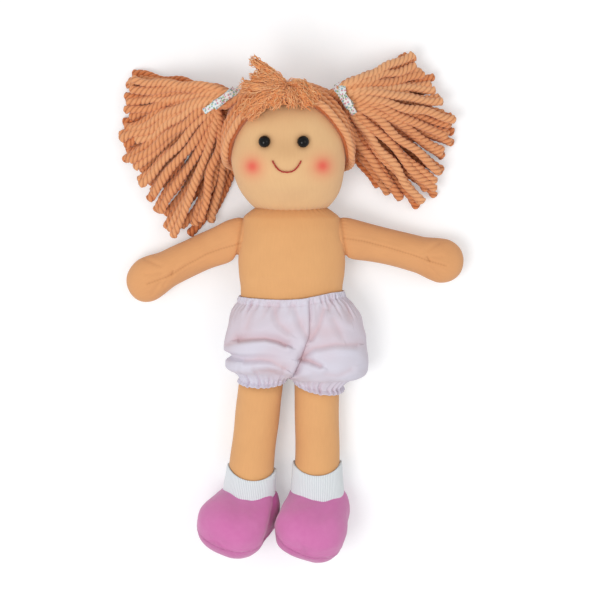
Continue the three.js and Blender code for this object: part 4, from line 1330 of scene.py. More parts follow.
@dataclass
class Shoe:
    """A soft shoe: one rounded form, split by a seam into a puffy upper and a padded sole."""

    side: Side
    leg_length: float = 96 * MM
    reach: float = 12 * MM
    ankle_height: float = 19 * MM
    heel_rise: float = 2 * MM
    length: float = 64.5 * MM
    seam: float = 6.0 * MM
    seam_gap: float = 0.05 * MM
    flat: float = 20.4 * MM
    heel_share: float = 0.3
    toe_share: float = 0.34
    profile: Rows = (
        (0, 22, 14, 20), (0.3, 23, 15.2, 22), (0.65, 25, 16.4, 22.4), (1, 24, 16.4, 22),
    )
    facet: Pairs = (
        (-192.5, -18.6), (-187.6, -16.6), (-174.3, -13.2), (-161.7, -12.2),
    )
    leans: dict[Side, tuple[float, ...]] = by_side((3, -19, 33.5), (20, -15, 30))
    pinches: dict[Side, float] = by_side(0.0, 1.0)
    upper_power: float = 2.15
    sole_power: float = 2.7
    rows: int = 160
    columns: int = 190

    def frame(self) -> tuple[Array, Array, Array, Array, Array]:
        """Heel, ankle, the toe's direction, the sole's direction and the direction across.

        The foot leans sideways and tips forward from upright, then turns in plan about the ankle.
        """
        root, along, _ = Leg(self.side).frame()
        lean, turn, tilt = np.radians(self.leans[self.side])
        upright = np.array([-math.sin(lean), 0.0, math.cos(lean)])
        toe = upright * math.cos(tilt) + along * math.sin(tilt)
        sole = unit(along * math.cos(tilt) - upright * math.sin(tilt))
        ankle = root + along * (self.leg_length + self.reach)
        ankle[2] = self.ankle_height
        cosine, sine = math.cos(turn), math.sin(turn)
        about = np.array([[cosine, -sine, 0.0], [sine, cosine, 0.0], [0.0, 0.0, 1.0]])
        toe, sole = about @ toe, about @ sole
        heel = ankle - toe * ((self.ankle_height - self.heel_rise) / toe[2])
        return heel, ankle, toe, sole, unit(np.cross(toe, sole))

    def closed(self, distance: Array, power: float) -> Array:
        """How a section closes towards an end: a superellipse's quarter over the given distance."""
        return (1 - (1 - np.clip(distance, 0, 1)) ** power) ** (1 / power)

    def sizes(self, share: Array) -> tuple[Array, Array, Array]:
        """Half-width, depth over and depth under the axis at shares of the length."""
        found = curve_through(np.array(self.profile) * [1, MM, MM, MM], share)
        closing = self.closed(share / self.heel_share, 2.2) * self.closed((1 - share) / self.toe_share, 2.2)
        wide, over, under = (found * closing[:, None]).T
        return wide, over, under

    def form(self, upper: bool) -> tuple[Array, Array]:
        """The shoe's outside: superellipses from heel to toe, squarer and flattened at the sole.

        Args:
            upper: Whether it is for the upper; for the sole it ends where it stops reaching past
                the seam, and above the seam it is no wider than at it.

        Returns:
            The points, and how deep each lies towards the sole.
        """
        heel, _, toe, sole, across = self.frame()
        first, last = (0.002, 0.998) if upper else self.sewn()
        share = first + (last - first) * (0.5 - 0.5 * np.cos(np.linspace(0, math.pi, self.rows)))
        wide, over, under = self.sizes(share)
        angle = turns(self.columns)
        power = np.where(np.sin(angle) > 0, self.sole_power, self.upper_power)
        c = np.sign(np.cos(angle)) * np.abs(np.cos(angle)) ** (2 / power)
        s = np.sign(np.sin(angle)) * np.abs(np.sin(angle)) ** (2 / power)
        depth = np.where(s[None, :] > 0, under[:, None], over[:, None]) * s[None, :]
        depth = depth - 0.8 * np.clip(depth - self.flat, 0, None)
        centre = heel + (share * self.length)[:, None] * toe
        spread = wide[:, None] * c[None, :]
        left_over = 1 - np.clip(self.seam / under, 0, 1) ** self.sole_power
        limit = (wide * left_over ** (1 / self.sole_power))[:, None]
        if not upper:
            spread = np.where(depth < self.seam, np.clip(spread, -limit, limit), spread)
        points = centre[:, None] + spread[..., None] * across + depth[..., None] * sole
        return points, depth

    def sewn(self) -> tuple[float, float]:
        """The shares of the length between which the form reaches past the seam."""
        share = np.linspace(0.001, 0.999, 999)
        reaching = share[self.sizes(share)[2] > self.seam + 0.02 * MM]
        return float(reaching[0]), float(reaching[-1])

    def half(self, upper: bool) -> Sheet:
        """The form on one side of the seam, closed by a flat face just short of it."""
        _, ankle, _, sole, _ = self.frame()
        points, depth = self.form(upper)
        sign = 1 if upper else -1
        limit = self.seam - sign * self.seam_gap
        cut = np.clip(sign * (depth - limit), 0, None)
        outside = np.where(cut > 0, 0.0, 1.0)
        points = points - (sign * cut)[..., None] * sole
        near = bell(sign * (limit - depth), 0.9 * MM) * outside
        seed = 41 + self.side.sign
        dent = wander(points, 18 * MM, seed) * 0.35 * MM + wander(points, 7 * MM, seed + 6) * 0.08 * MM
        angle = turns(self.columns)
        dent -= 0.15 * MM * near
        dent += np.sin(angle * 50) * 0.14 * MM * bell(sign * (limit - depth) - 2 * MM, 2 * MM)
        line = np.array(self.facet) * MM
        inwards = points[..., 0] - np.interp(points[..., 1], line[:, 0], line[:, 1])
        pinch = self.pinches[self.side]
        # Painted shade over the pinched inner side of the shoe, which faces away from the lamps.
        inner = pinch * ease(-0.8 * MM, 1.2 * MM, inwards) * ease(-2 * MM, 4 * MM, self.seam - depth)
        dent -= pinch * 0.8 * MM * bell(inwards - 0.3 * MM, 1.6 * MM)
        stitches = np.clip(np.sin(angle * 46) * np.sin(angle * 7 + 1), 0, 1)
        # Dark stitches along the seam, plus the painted shade on the inner side.
        shade = near * (0.05 + 0.7 * stitches) + inner
        sheet = Sheet(points, numbers={"shade": np.clip(shade, 0, 0.85)}, capped=True)
        sheet = sheet.pushed(dent * outside)
        leg = Leg(self.side).frame()[1]
        offset = sheet.points - ankle
        back = 1 - ease(-2 * MM, 26 * MM, offset @ leg)
        raised = 4.2 * ease(2 * MM, 15 * MM, offset[..., 0])
        raised = raised - 1.3 * pinch * bell(offset[..., 0] + 6 * MM, 5 * MM)
        raised = raised * MM * back * ease(0, -8 * MM, offset @ sole)
        sheet.points = sheet.points - raised[..., None] * leg
        sheet.points = on_floor(sheet.points, 0.0 if upper else 0.1 * MM)
        return sheet

    def build(self) -> list[Piece]:
        """The upper, which covers the stuffing, and the sole."""
        name = self.side.value
        covered = (f"{name}_shoe_upper", f"{name}_foot_stuffing")
        upper = Builder.stuffed(f"{name}_shoe_cloth", self.half(True), Palette.shoe, 0.85, *covered)
        under = f"{name}_shoe_sole"
        sole = Builder.stuffed(f"{under}_cloth", self.half(False), Palette.sole, 0.85, under)
        return [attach(piece, f"{name}_leg") for piece in (upper, sole)]


@dataclass
class Bloomers:
    """Short cotton bloomers: two panels gathered on elastic at the waist and at both cuffs.

    A panel's rows hold Y, how far out its side reaches, half-depth and height of the middle. Its
    section is an arc that closes from the waist, where both panels share one ellipse, to the leg.
    A fold holds its line in plan, its depth and its widths above and below the line.
    """

    rows: dict[Side, Rows] = by_side(
        (
            (-22.6, 36.9, 23.0, 23.9), (-25, 37.2, 23.2, 23.9), (-27.4, 38.4, 23.8, 23.9),
            (-32, 43.4, 25.0, 24.6), (-41, 49.4, 26.4, 25.6), (-53, 52.5, 27, 26.4), (-66, 53.2, 27, 26.2),
            (-75, 53.6, 26, 25.4), (-79.5, 52, 24, 23.4), (-82.0, 48, 21.8, 21.2), (-82.8, 42.4, 19, 18.6),
            (-83.4, 37.4, 16.9, 16.8), (-84.4, 36.4, 16.4, 16.6), (-87.4, 37.6, 17.6, 17.2),
        ),
        (
            (-22.6, 36.9, 23.0, 23.9), (-25, 37.2, 23.2, 23.9), (-27.4, 38.2, 23.8, 23.9),
            (-33, 42.0, 25.0, 24.6), (-43, 44.4, 26.4, 25.6), (-54, 46.4, 27, 26.4), (-61, 47.4, 26.6, 26),
            (-65.4, 42.0, 25.4, 25.4), (-69.4, 46.2, 25.4, 25), (-73, 46.4, 24.4, 24),
            (-76.4, 44, 21.6, 21.6), (-78.6, 40, 18.6, 18.4), (-80.6, 37.6, 16.8, 16.8),
            (-81.8, 37, 16.4, 16.6), (-84.8, 38.4, 17.6, 17.2),
        ),
    )
    seam: Rows = (
        (-84, -2.4, 23.5, 23.5), (-81.7, -2.4, 24.5, 22.5), (-80, -1.6, 33, 15), (-77, 1.7, 40, 7),
        (-71, 4.6, 45.2, 2.4), (-64.8, 7.2, 48, 1), (-55.3, 10.4, 49.6, 0.7), (-48.9, 12.6, 49.8, 0.7),
        (-38, 12.8, 49.2, 0.8), (-27.4, 12.4, 47.0, 1.0), (-18, 12.2, 46.2, 1.2),
    )
    closing: Pairs = (
        (-81.7, 1), (-76, 0.82), (-66, 0.46), (-53, 0.2), (-41, 0.07), (-30, 0), (-18, 0),
    )
    folds: tuple[tuple[Pairs, float, float, float], ...] = (
        (((-36.4, -53.3), (-27, -51.8), (-18.1, -51.2), (-10, -53), (-4, -55.6)), 4.0, 4.4, 0.9),
        (((-47, -57.5), (-36.4, -53.3)), 1.3, 2.6, 1.2),
        (((-31.7, -67), (-22.1, -65.5), (-13.4, -66.7), (-4.5, -72.4)), 2.0, 4.2, 2.2),
        (((-12.6, -28.9), (-8.6, -40.1), (-2.3, -46)), 1.3, 3.2, 3.0),
        (((1.7, -28.2), (6.3, -41), (10.6, -49)), 1.2, 2.4, 2.4),
        (((12.5, -26), (12.9, -48.9), (10.4, -55.3), (7.2, -64.8), (2.4, -76)), 1.5, 2.8, 0.7),
        (((22.3, -31), (19.1, -42.5), (14.2, -51.5)), 1.7, 1.8, 3.2),
        (((8.4, -63.4), (15.1, -57.8), (31, -55), (45.3, -56.2)), 2.2, 4.2, 2.2),
        (((6.4, -66.2), (12.8, -66.8), (19.9, -70)), 2.8, 2.0, 1.6),
        (((28.5, -23), (25.8, -31)), 1.2, 1.6, 1.6),
        (((37, -25), (41, -38)), 1.2, 2.6, 2.6),
        (((-24, -74), (-16, -73.4), (-9, -77)), 0.9, 2.4, 2.0),
        (((24, -76), (33, -77), (41, -73)), 0.9, 2.6, 2.6),
        (((-27, -30), (-31, -44)), 0.9, 2.6, 2.6),
        (((29, -38), (35, -50)), 0.8, 2.6, 2.6),
    )
    crotch: float = -81.7 * MM
    waist_half: float = 36.9 * MM
    cuff_inner: dict[Side, float] = by_side(0.9 * MM, -4.4 * MM)
    cuff_dip: dict[Side, float] = by_side(4.4 * MM, 2.6 * MM)
    cuff_tilt: dict[Side, float] = by_side(0.17, 0.0)
    seeds: dict[Side, int] = by_side(7, 19)
    height: float = 88 * MM
    wall: float = 0.45 * MM
    row_count: int = 150
    columns: int = 250

    def inner(self, side: Side, y: Array) -> Array:
        """Where a panel's inner edge runs along X: down the shared seam, then down inside the leg."""
        shared = curve_through(np.array(self.seam) * MM, y)[:, 0]
        leg_share = ease(self.crotch, self.crotch - 4.5 * MM, y)
        return shared * (1 - leg_share) + self.cuff_inner[side] * leg_share

    def base(self, side: Side) -> tuple[Array, Array, Array]:
        """The smooth panel before it is gathered.

        A row is an arc of an ellipse from minus to plus an angle that grows from the waist to the
        crotch; its middle and half-width put one end on the seam and the side on the outline.

        Returns:
            The grid of points, the share down the panel and the place round it, minus 1 to 1.
        """
        table = np.array(self.rows[side])
        t = np.linspace(0, 1, self.row_count)
        u = np.linspace(-1, 1, self.columns)
        length = running(np.hypot(np.diff(table[:, 0]), np.diff(table[:, 1])))
        found = curve_through(np.column_stack([length / length[-1], table]), t)
        y, reach, deep, height = (found[:, k] * MM for k in range(4))
        closing = curve_through(np.array(self.closing) * [MM, 1], y)[:, 0]
        outer = side.sign * reach
        inner = self.inner(side, y)
        first = math.acos(float(np.clip(side.sign * inner[0] / self.waist_half, -1, 1)))
        spread = first + (math.pi - first) * closing
        half = np.abs(outer - inner) / (1 - np.cos(spread))
        middle = outer - side.sign * half
        angle = u[None, :] * spread[:, None]
        x = middle[:, None] + side.sign * half[:, None] * np.cos(angle)
        z = height[:, None] - deep[:, None] * np.sin(angle)
        ends = curve_through(np.array(self.seam) * MM, y)[:, 1:]
        open_share = ease(self.crotch, self.crotch + 0.8 * MM, y)
        for edge, column, wanted in ((-1, 0, ends[:, 0]), (1, -1, ends[:, 1])):
            near = ease(0.62, 1.0, u * edge)
            z = z + near[None, :] * ((wanted - z[:, column]) * open_share)[:, None]
        yy = np.broadcast_to(y[:, None], x.shape).copy()
        waist_share = ease(-50 * MM, -27 * MM, y)[:, None]
        lift = 2.6 * MM * ease(5 * MM, 33 * MM, x) - 0.6 * MM * ease(-14 * MM, -36 * MM, x)
        yy += waist_share * (lift - 2.0 * MM * bell(x + 9 * MM, 24 * MM))
        cuff_share = ease(0.86, 0.97, t)[:, None]
        front = np.clip(-np.sin(angle), 0, 1)
        yy -= cuff_share * (self.cuff_dip[side] * front + self.cuff_tilt[side] * (x - middle[:, None]))
        return np.stack([x, yy, z], -1), t, u

    def pleats(
        self, u: Array, below: Array, spacing: float, depth: float, seed: int, short: float
    ) -> Array:
        """Gathers of uneven depth and length, each a narrow valley down the cloth.

        Args:
            u: Place round the panel, minus 1 to 1.
            below: Distance from the elastic for each row.
            spacing: Mean distance between two gathers on the same scale as u.
            depth: Mean depth.
            seed: Seed of their places.
            short: Mean length.

        Returns:
            How far each point moves outwards.
        """
        draw = np.random.default_rng(seed)
        total = np.zeros((len(below), len(u)))
        place = -1.0
        while place < 1.0:
            place += spacing * draw.uniform(0.45, 1.6)
            reach = short * draw.uniform(0.45, 1.7) * (1.8 if draw.uniform() < 0.25 else 1.0)
            size = depth * draw.uniform(0.4, 1.5)
            fade = np.clip(1 - np.abs(below) / reach, 0, 1) ** 1.3
            lean = place + draw.uniform(-0.08, 0.08) * np.abs(below) / short * 0.5
            offset = (u[None, :] - lean[:, None]) / (spacing * 0.3)
            ridges = 0.32 * np.exp(-((np.abs(offset) - 1.7) ** 2))
            total -= size * fade[:, None] * (np.exp(-offset**2) - ridges)
        return total

    def gathered(self, points: Array, t: Array, u: Array, side: Side) -> tuple[Array, Array]:
        """The panel with its gathers, and how deep each point lies in them."""
        sheet = Sheet(points, closed=False)
        down = sheet.down()
        cuff_line = down[-1] - 3.2 * MM
        seed = self.seeds[side]
        waist = self.pleats(u, np.clip(down - 4.2 * MM, 0, None), 0.082, 1.15 * MM, seed, 12 * MM)
        waist *= ease(0.2 * MM, 2.6 * MM, down)[:, None] * 0.8 + 0.2
        cuff = self.pleats(u, cuff_line - down, 0.07, 1.3 * MM, seed + 1, 11 * MM)
        fine = self.pleats(u, down - 2 * MM, 0.045, 0.6 * MM, seed + 2, 4 * MM)
        casing = -0.45 * MM * bell(down - 4.6 * MM, 0.8 * MM) + 0.35 * MM * bell(down - 2.2 * MM, 1.6 * MM)
        band = -0.35 * MM * bell(down - cuff_line, 0.9 * MM)
        move = waist + cuff + fine + (casing + band)[:, None]
        between = (ease(0.1, 0.25, t) * ease(0.95, 0.8, t))[:, None]
        move = move + wander(points, 17 * MM, seed) * 0.6 * MM * between
        move = move * ease(1.0, 0.97, np.abs(u))[None, :]
        return sheet.pushed(move).points, np.clip(-move / (1.6 * MM), 0, 1)

    def folded(self, points: Array) -> tuple[Array, Array]:
        """The large folds on the front, each a valley, gentle on its left side and steep on its right.

        A line's left is the side of its upper cloth. The cloth below it swells into a soft lip.
        """
        front = ease(24 * MM, 34 * MM, points[..., 2])
        dent = np.zeros(points.shape[:2])
        warm = np.zeros(points.shape[:2])
        for line, depth, above, below in self.folds:
            away, left = to_line(points, np.array(line) * MM)
            width = np.where(left, above, below) * MM
            dent += depth * MM * bell(away, width)
            dent -= np.where(left, 0.0, 0.42 * depth * MM) * bell(away - (below + 2.2) * MM, 2.6 * MM)
            # Painted shade, pinkish, in each fold's valley and sharpest along its line.
            warm += 0.34 * min(depth, 2.6) / 2.6 * bell(away, width * 1.1)
            warm += 0.4 * depth / 3.6 * bell(away, 1.1 * MM)
        moved = points.copy()
        moved[..., 2] -= dent * front
        return moved, warm * front

    def panel(self, side: Side) -> tuple[Piece, Sheet]:
        """One panel, a grid from the front seam round the outside to the back seam."""
        points, t, u = self.base(side)
        points, pinched = self.gathered(points, t, u, side)
        points, warm = self.folded(points)
        soft = 0.16 + 0.12 * wander(points, 45 * MM, 3) + 0.2 * bell(points[..., 1] + 44 * MM, 13 * MM)
        # Painted shade in the gathers, over a soft uneven tint across the panel.
        warm = warm + 0.35 * pinched + np.clip(soft, 0, 0.4)
        sheet = Sheet(on_floor(points, 0.15 * MM), closed=False, numbers={"warm": np.clip(warm, 0, 1)})
        return Builder.mesh(f"{side.value}_bloomers_cloth", [sheet], Palette.cotton), sheet

    def build(self) -> list[Piece]:
        """Both panels."""
        made = []
        for side in Side:
            piece, sheet = self.panel(side)
            name = side.value
            Builder.thicken(piece, self.wall)
            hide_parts(f"bloomers_{name}_panel", f"{name}_leg_elastic")
            if side is Side.LEFT:
                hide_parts("waist_elastic")
            hip = Leg(side).hip_y
            start, end = (0, hip + 3 * MM, 0), (0, hip - 11 * MM, 0)
            made.append(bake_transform(piece))
        return made

    @staticmethod
    def area(points: Array) -> float:
        """The area of a grid of points."""
        a = points[1:, :-1] - points[:-1, :-1]
        b = points[:-1, 1:] - points[:-1, :-1]
        return float(np.linalg.norm(np.cross(a, b), axis=-1).sum())


@dataclass
class HairCap:
    """Hair laid on the head: a shell sewn over it and strands that run to both bunches."""

    head: Head
    edge_height: float = 46 * MM
    edge_slope: float = 0.6
    edge_bend: float = 0.16 / MM
    top_bend: float = 0.0134 / MM
    edge_lowest: float = 15 * MM
    hem_y: float = 47 * MM
    shell: float = 3 * MM
    seat: float = 4.5 * MM
    ray: float = 40 * MM
    rows: int = 3
    row_step: float = 4.5 * MM
    parting: float = math.radians(77)
    back_parting_x: float = -2 * MM
    strands: int = 27
    hem_strands: int = 9
    knots: dict[Side, tuple[float, float, float]] = by_side(
        (35.5 * MM, 114.8 * MM, 38 * MM), (-46.5 * MM, 113.2 * MM, 38 * MM)
    )
    swells: dict[Side, float] = by_side(2.6 * MM, 8.5 * MM)
    edge_ends: dict[Side, float] = by_side(math.radians(-75), math.radians(255))

    def beyond(self, points: Array, drop: float) -> Array:
        """Above 0 where points are in front of the edge, lowered by the drop, or below the hem.

        The edge's height rises with Y. It also falls with Y squared, gently over the forehead, and
        below the head's middle so much that the hair passes behind the cheeks.
        """
        offset = points[..., 1] - self.head.middle[1]
        edge = self.edge_height + self.edge_slope * offset - self.edge_bend * np.minimum(offset, 0) ** 2
        edge = edge - self.top_bend * np.clip(offset - 12 * MM, 0, None) ** 2
        edge = np.maximum(edge, self.edge_lowest) - drop * math.hypot(1.0, self.edge_slope)
        return np.maximum(points[..., 2] - edge, self.hem_y - points[..., 1])

    def fullness(self, points: Array) -> Array:
        """How far the hair swells out at the crown and as it is drawn in to the nearer bunch."""
        crown = np.linalg.norm(points - np.array([0, 122, 46]) * MM, axis=-1)
        total = 2.4 * MM * bell(crown, 22 * MM)
        for side in Side:
            away = np.linalg.norm(points - np.array(self.knots[side]), axis=-1)
            total += self.swells[side] * bell(away, 25 * MM)
        return total

    def spot(self, azimuth: Array, polar: Array, grow: float) -> Array:
        """Points of a shell round the head, at an angle from its back, turned round by an azimuth."""
        axis = unit(np.array([0.0, -self.edge_slope, 1.0]))
        second = np.cross(axis, SIDEWAYS)
        side = np.cos(azimuth)[..., None] * SIDEWAYS + np.sin(azimuth)[..., None] * second
        way = -axis * np.cos(polar)[..., None] + side * np.sin(polar)[..., None]
        return self.head.onto(self.head.middle + way * self.ray, grow)

    def rim(self, azimuth: Array, drop: float, grow: float) -> Array:
        """The angle from the back of the head at which its shell meets the edge.

        It is halved between inside and outside 24 times.
        """
        low = np.zeros_like(azimuth)
        high = np.full_like(azimuth, math.pi * 0.98)
        for _ in range(24):
            middle = (low + high) / 2
            outside = self.beyond(self.spot(azimuth, middle, grow), drop) > 0
            high = np.where(outside, middle, high)
            low = np.where(outside, low, middle)
        return low

    def scalp(self) -> Sheet:
        """The shell under the strands, out over the head and back inside."""
        azimuth = np.linspace(0, math.tau, 97)[:-1]
        reach = self.rim(azimuth, 1.2 * MM, self.shell)
        share = np.linspace(0.02, 1, 50)
        outer = self.layer(azimuth, reach, share, self.shell)
        inner = self.layer(azimuth, reach * 0.998, share[::-1], 0.35 * MM)
        shade = np.zeros((100, 96))
        # Painted shade: the shell under the strands is darkened with the groove colour.
        numbers = {"strand": shade, "groove": shade + 0.55}
        points = on_floor(np.concatenate([outer, inner]))
        return Sheet(points, capped=True, numbers=numbers)

    def layer(self, azimuth: Array, reach: Array, share: Array, grow: float) -> Array:
        """Points of a shell round the head, rows going out from the back of the head."""
        polar = share[:, None] * reach[None, :]
        points = self.spot(np.broadcast_to(azimuth, polar.shape), polar, grow)
        if grow < self.shell:
            return points
        return self.head.onto(points, grow + self.fullness(points))

    def edge_rows(self) -> list[Sheet]:
        """Strands side by side along the face, from the parting on top down to the hem."""
        ply = Ply(sides=14)
        made = []
        for side in Side:
            last = self.edge_ends[side]
            for row in range(self.rows):
                azimuth = np.linspace(self.parting - side.sign * math.radians(1.5 * row), last, 500)
                reach = self.rim(azimuth, 0.6 * MM + row * self.row_step, self.seat)
                line = self.spot(azimuth, reach, self.seat)
                line = self.head.onto(line, self.seat + 0.5 * self.fullness(line))
                line = line[line[:, 1] > self.hem_y + 0.6 * MM + 0.8 * MM * row]
                line = evenly(line, int(len(line) * 0.42))
                line += self.unevenness(line, 0.35 * MM, 60 + row + 10 * side.sign)
                line = on_floor(line, 2.2 * MM)
                outward = unit(line - self.head.middle)
                ends = rounded_ends(len(line), 0.02)
                swell = 1.0 + 0.06 * wander(line, 15 * MM, 3 + row)
                made.append(ply.strand(line, swell * ends, 0.75 - 0.2 * row, row * 1.9, outward))
        return made

    def unevenness(self, line: Array, size: float, seed: int) -> Array:
        """Soft sideways moves along a strand."""
        return np.stack([wander(line, 22 * MM, seed + k) for k in (0, 100, 200)], -1) * size

    def starts(self, side: Side) -> Array:
        """Where the strands begin: over the crown and down the back parting, then round the hem."""
        steep = np.linspace(math.radians(29), math.radians(-148), self.strands)
        spread = np.stack([0 * steep, np.cos(steep), np.sin(steep)], -1)
        parting = self.head.middle + spread * self.ray
        parting[:, 0] = self.back_parting_x + side.sign * 1.0 * MM
        around = np.linspace(math.radians(-112), math.radians(-22), self.hem_strands)
        hem = np.stack([
            self.head.middle[0] + side.sign * 30 * MM * np.cos(around),
            np.full(self.hem_strands, self.hem_y),
            24 * MM + 20 * MM * np.sin(around),
        ], -1)
        return np.concatenate([self.head.onto(parting, self.seat), hem])

    def drawn(self, side: Side) -> list[Sheet]:
        """Strands that run over the head to one bunch, each a straight line laid onto the shell."""
        ply = Ply(sides=12)
        knot = np.array(self.knots[side])
        draw = np.random.default_rng(70 + side.sign)
        made = []
        begins = self.starts(side)
        way = unit(knot - self.head.middle)
        flat = unit(np.cross(UP, way))
        for number, begin in enumerate(begins):
            turn = math.tau * number / len(begins)
            around = flat * math.cos(turn) + np.cross(way, flat) * math.sin(turn)
            gathered = knot + around * 7.0 * MM
            length = float(np.linalg.norm(gathered - begin))
            count = max(int(length / (1.15 * MM)), 12)
            t = np.linspace(0, 1, count)
            chord = begin + (gathered - begin) * t[:, None]
            over = self.head.onto(chord, self.seat - 0.5 * MM)
            over = self.head.onto(over, self.seat + self.fullness(over) + draw.uniform(-0.9, 0.1) * MM)
            free = ease(0.78, 1.0, t)[:, None]
            line = over * (1 - free) + chord * free
            line += self.unevenness(line, 0.3 * MM, 300 + number) * np.sin(math.pi * t)[:, None]
            line = on_floor(line, 2.2 * MM)
            outward = unit(line - self.head.middle)
            swell = (1.0 - 0.3 * ease(0.6, 1.0, t)) * rounded_ends(count, 0.03)
            tint = draw.uniform(0.1, 0.75)
            made.append(ply.strand(line, swell, tint, draw.uniform(0, 6), outward))
        return made

    def build(self) -> list[Piece]:
        """The cap's pieces: the shell with its edge rows, and the strands of each side."""
        sheets = [self.scalp(), *self.edge_rows()]
        made = [Builder.worn("hair_rows", sheets, Palette.hair, "head", "hair_cap")]
        for side in Side:
            strands = Builder.mesh(f"hair_strands_{side.value}", self.drawn(side), Palette.hair)
            knot = np.array(self.knots[side])
            way = unit(knot - self.head.middle)
            start, end = (tuple(knot - way * back) for back in (15 * MM, 3 * MM))
            made.append(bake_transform(strands))
        return made


@dataclass
class Bunch:
    """A bunch of cut yarn strands that fan out from a tie and lie in layers.

    Its reaches hold headings in degrees with the length of the strands there, in millimetres.
    """

    side: Side
    knot: tuple[float, float, float]
    axes: dict[Side, float] = by_side(37.0, 57.0)
    reaches: dict[Side, Pairs] = by_side(
        (
            (-66.9, 67), (-60.5, 79), (-52.1, 97.6), (-41.8, 90.1), (-35.3, 87.2), (-25.6, 84.2),
            (-9.7, 78), (-3.5, 69.2), (11.0, 65.5), (16.9, 57.8), (32.3, 57.8),
        ),
        (
            (-82.8, 88.1), (-69.6, 102.3), (-53.9, 91.4), (-46.5, 84.4), (-32.6, 82.3), (-23.3, 80.8),
            (-12.0, 73.1), (1.3, 70), (15.6, 68.3),
        ),
    )
    seeds: dict[Side, int] = by_side(12, 27)
    layers: tuple[int, ...] = (15, 15, 14, 12)
    disc: float = 8.5 * MM
    lowest: float = 3.1 * MM
    layer_rise: float = 4.3 * MM

    @property
    def axis(self) -> float:
        """The heading in degrees at which the bunch leaves its tie."""
        return self.axes[self.side]

    def heading(self, degrees: Array | float) -> Array:
        """A flat direction: 0 outward, 90 towards the crown."""
        angle = np.radians(degrees)
        return np.stack([self.side.sign * np.cos(angle), np.sin(angle), 0 * np.sin(angle)], -1)

    def lines(self) -> list[tuple[Array, float, float]]:
        """Each strand's middle, its tint and its first ply's turn.

        A strand leaves the tie along its axis, bends over to its own heading and comes down onto
        the strands below. Sideways waves grow along it.
        """
        draw = np.random.default_rng(self.seeds[self.side])
        knot = np.array(self.knot)
        angles, reaches = np.array(self.reaches[self.side]).T
        across = self.heading(self.axis + 90)
        made = []
        for layer, count in enumerate(self.layers):
            shift = (layer % 2) * 0.5
            for number in range(count):
                share = (number + shift) / (count - 1 + shift)
                if layer and share > 0.97:
                    share -= 0.03
                degrees = angles[0] + (angles[-1] - angles[0]) * share
                degrees = float(np.clip(degrees + draw.uniform(-1.8, 1.8), angles[0], angles[-1]))
                reach = float(np.interp(degrees, angles, reaches * MM))
                reach = reach * draw.uniform(0.93, 1.04) - 1.0 * MM
                if draw.uniform() < 0.12:
                    reach *= draw.uniform(0.8, 0.92)
                way = self.heading(degrees)
                tip = knot * np.array([1, 1, 0]) + way * reach
                tip[2] = self.lowest + layer * self.layer_rise * (0.55 + 0.45 * draw.uniform())
                spread = (share - 0.5) * 1.7
                lift = (layer - 1.5) / 3.2
                begin = knot + (across * spread + UP * lift * 1.2) * self.disc
                low = float(ease(-15, -70, np.array(degrees)))
                leave = self.heading(self.axis * 0.3 + degrees * 0.7)
                bend = begin + leave * reach * 0.28 + UP * (1.5 + layer * 1.2) * MM
                bend = bend - self.heading(0.0) * 27 * MM * low - UP * (30 - 4 * layer) * MM * low
                inward = float(ease(-45, -80, np.array(degrees))) * (1.0, 0.8, 0.4, 0.1)[layer]
                settle = tip - self.heading(degrees + 30 * inward) * reach * (0.42 + 0.08 * inward)
                settle = settle + UP * (4 + 2.2 * layer) * (1 - 0.6 * inward) * MM
                line = evenly(bezier([begin, bend, settle, tip], 60), 60)
                t = np.linspace(0, 1, 60)
                sideways = self.heading(degrees + 90)
                for part in range(2):
                    size = draw.uniform(0.5, 1.3) * MM
                    waves = draw.uniform(0.8, 1.5) * (1 + part * 0.9)
                    wave = np.sin(math.tau * waves * t + draw.uniform(0, 6.28)) * ease(0, 0.5, t) * size
                    line = line + wave[:, None] * sideways
                # Painted shade and light: lower layers darker, upper ones paler, plus a random tone.
                tint = 0.12 + 0.15 * layer + draw.uniform(-0.1, 0.35)
                made.append((line, float(tint), float(draw.uniform(0, 6.28))))
        return made

    def build(self) -> list[Piece]:
        """The strands, in two pieces: those that lie below and those on top of them."""
        ply = Ply(radius=3.0 * MM, sides=18, depth=0.26)
        draw = np.random.default_rng(5)
        sheets = []
        for line, tint, turn in self.lines():
            length = float(np.linalg.norm(np.diff(line, axis=0), axis=1).sum())
            count = int(length / (0.85 * MM))
            line = on_floor(evenly(line, count), 3.1 * MM)
            t = np.linspace(0, 1, count)
            swell = 0.62 + 0.38 * ease(0.0, 0.16, t)
            swell = swell + 0.07 * np.sin(t * draw.uniform(9, 16) + draw.uniform(0, 6))
            swell = swell + 0.08 * bell(t - 1.0, 0.03)
            swell *= rounded_ends(count, 0.02, 0.55)
            sheets.append(ply.strand(line, swell, tint, turn))
        half = self.layers[0] + self.layers[1]
        name = f"{self.side.value}_bunch"
        made = []
        for label, part in (("lower", sheets[:half]), ("upper", sheets[half:])):
            node = f"{self.side.value}_hair_bunch"
            made.append(Builder.worn(f"{name}_{label}_strands", part, Palette.hair, name, node))
        return made


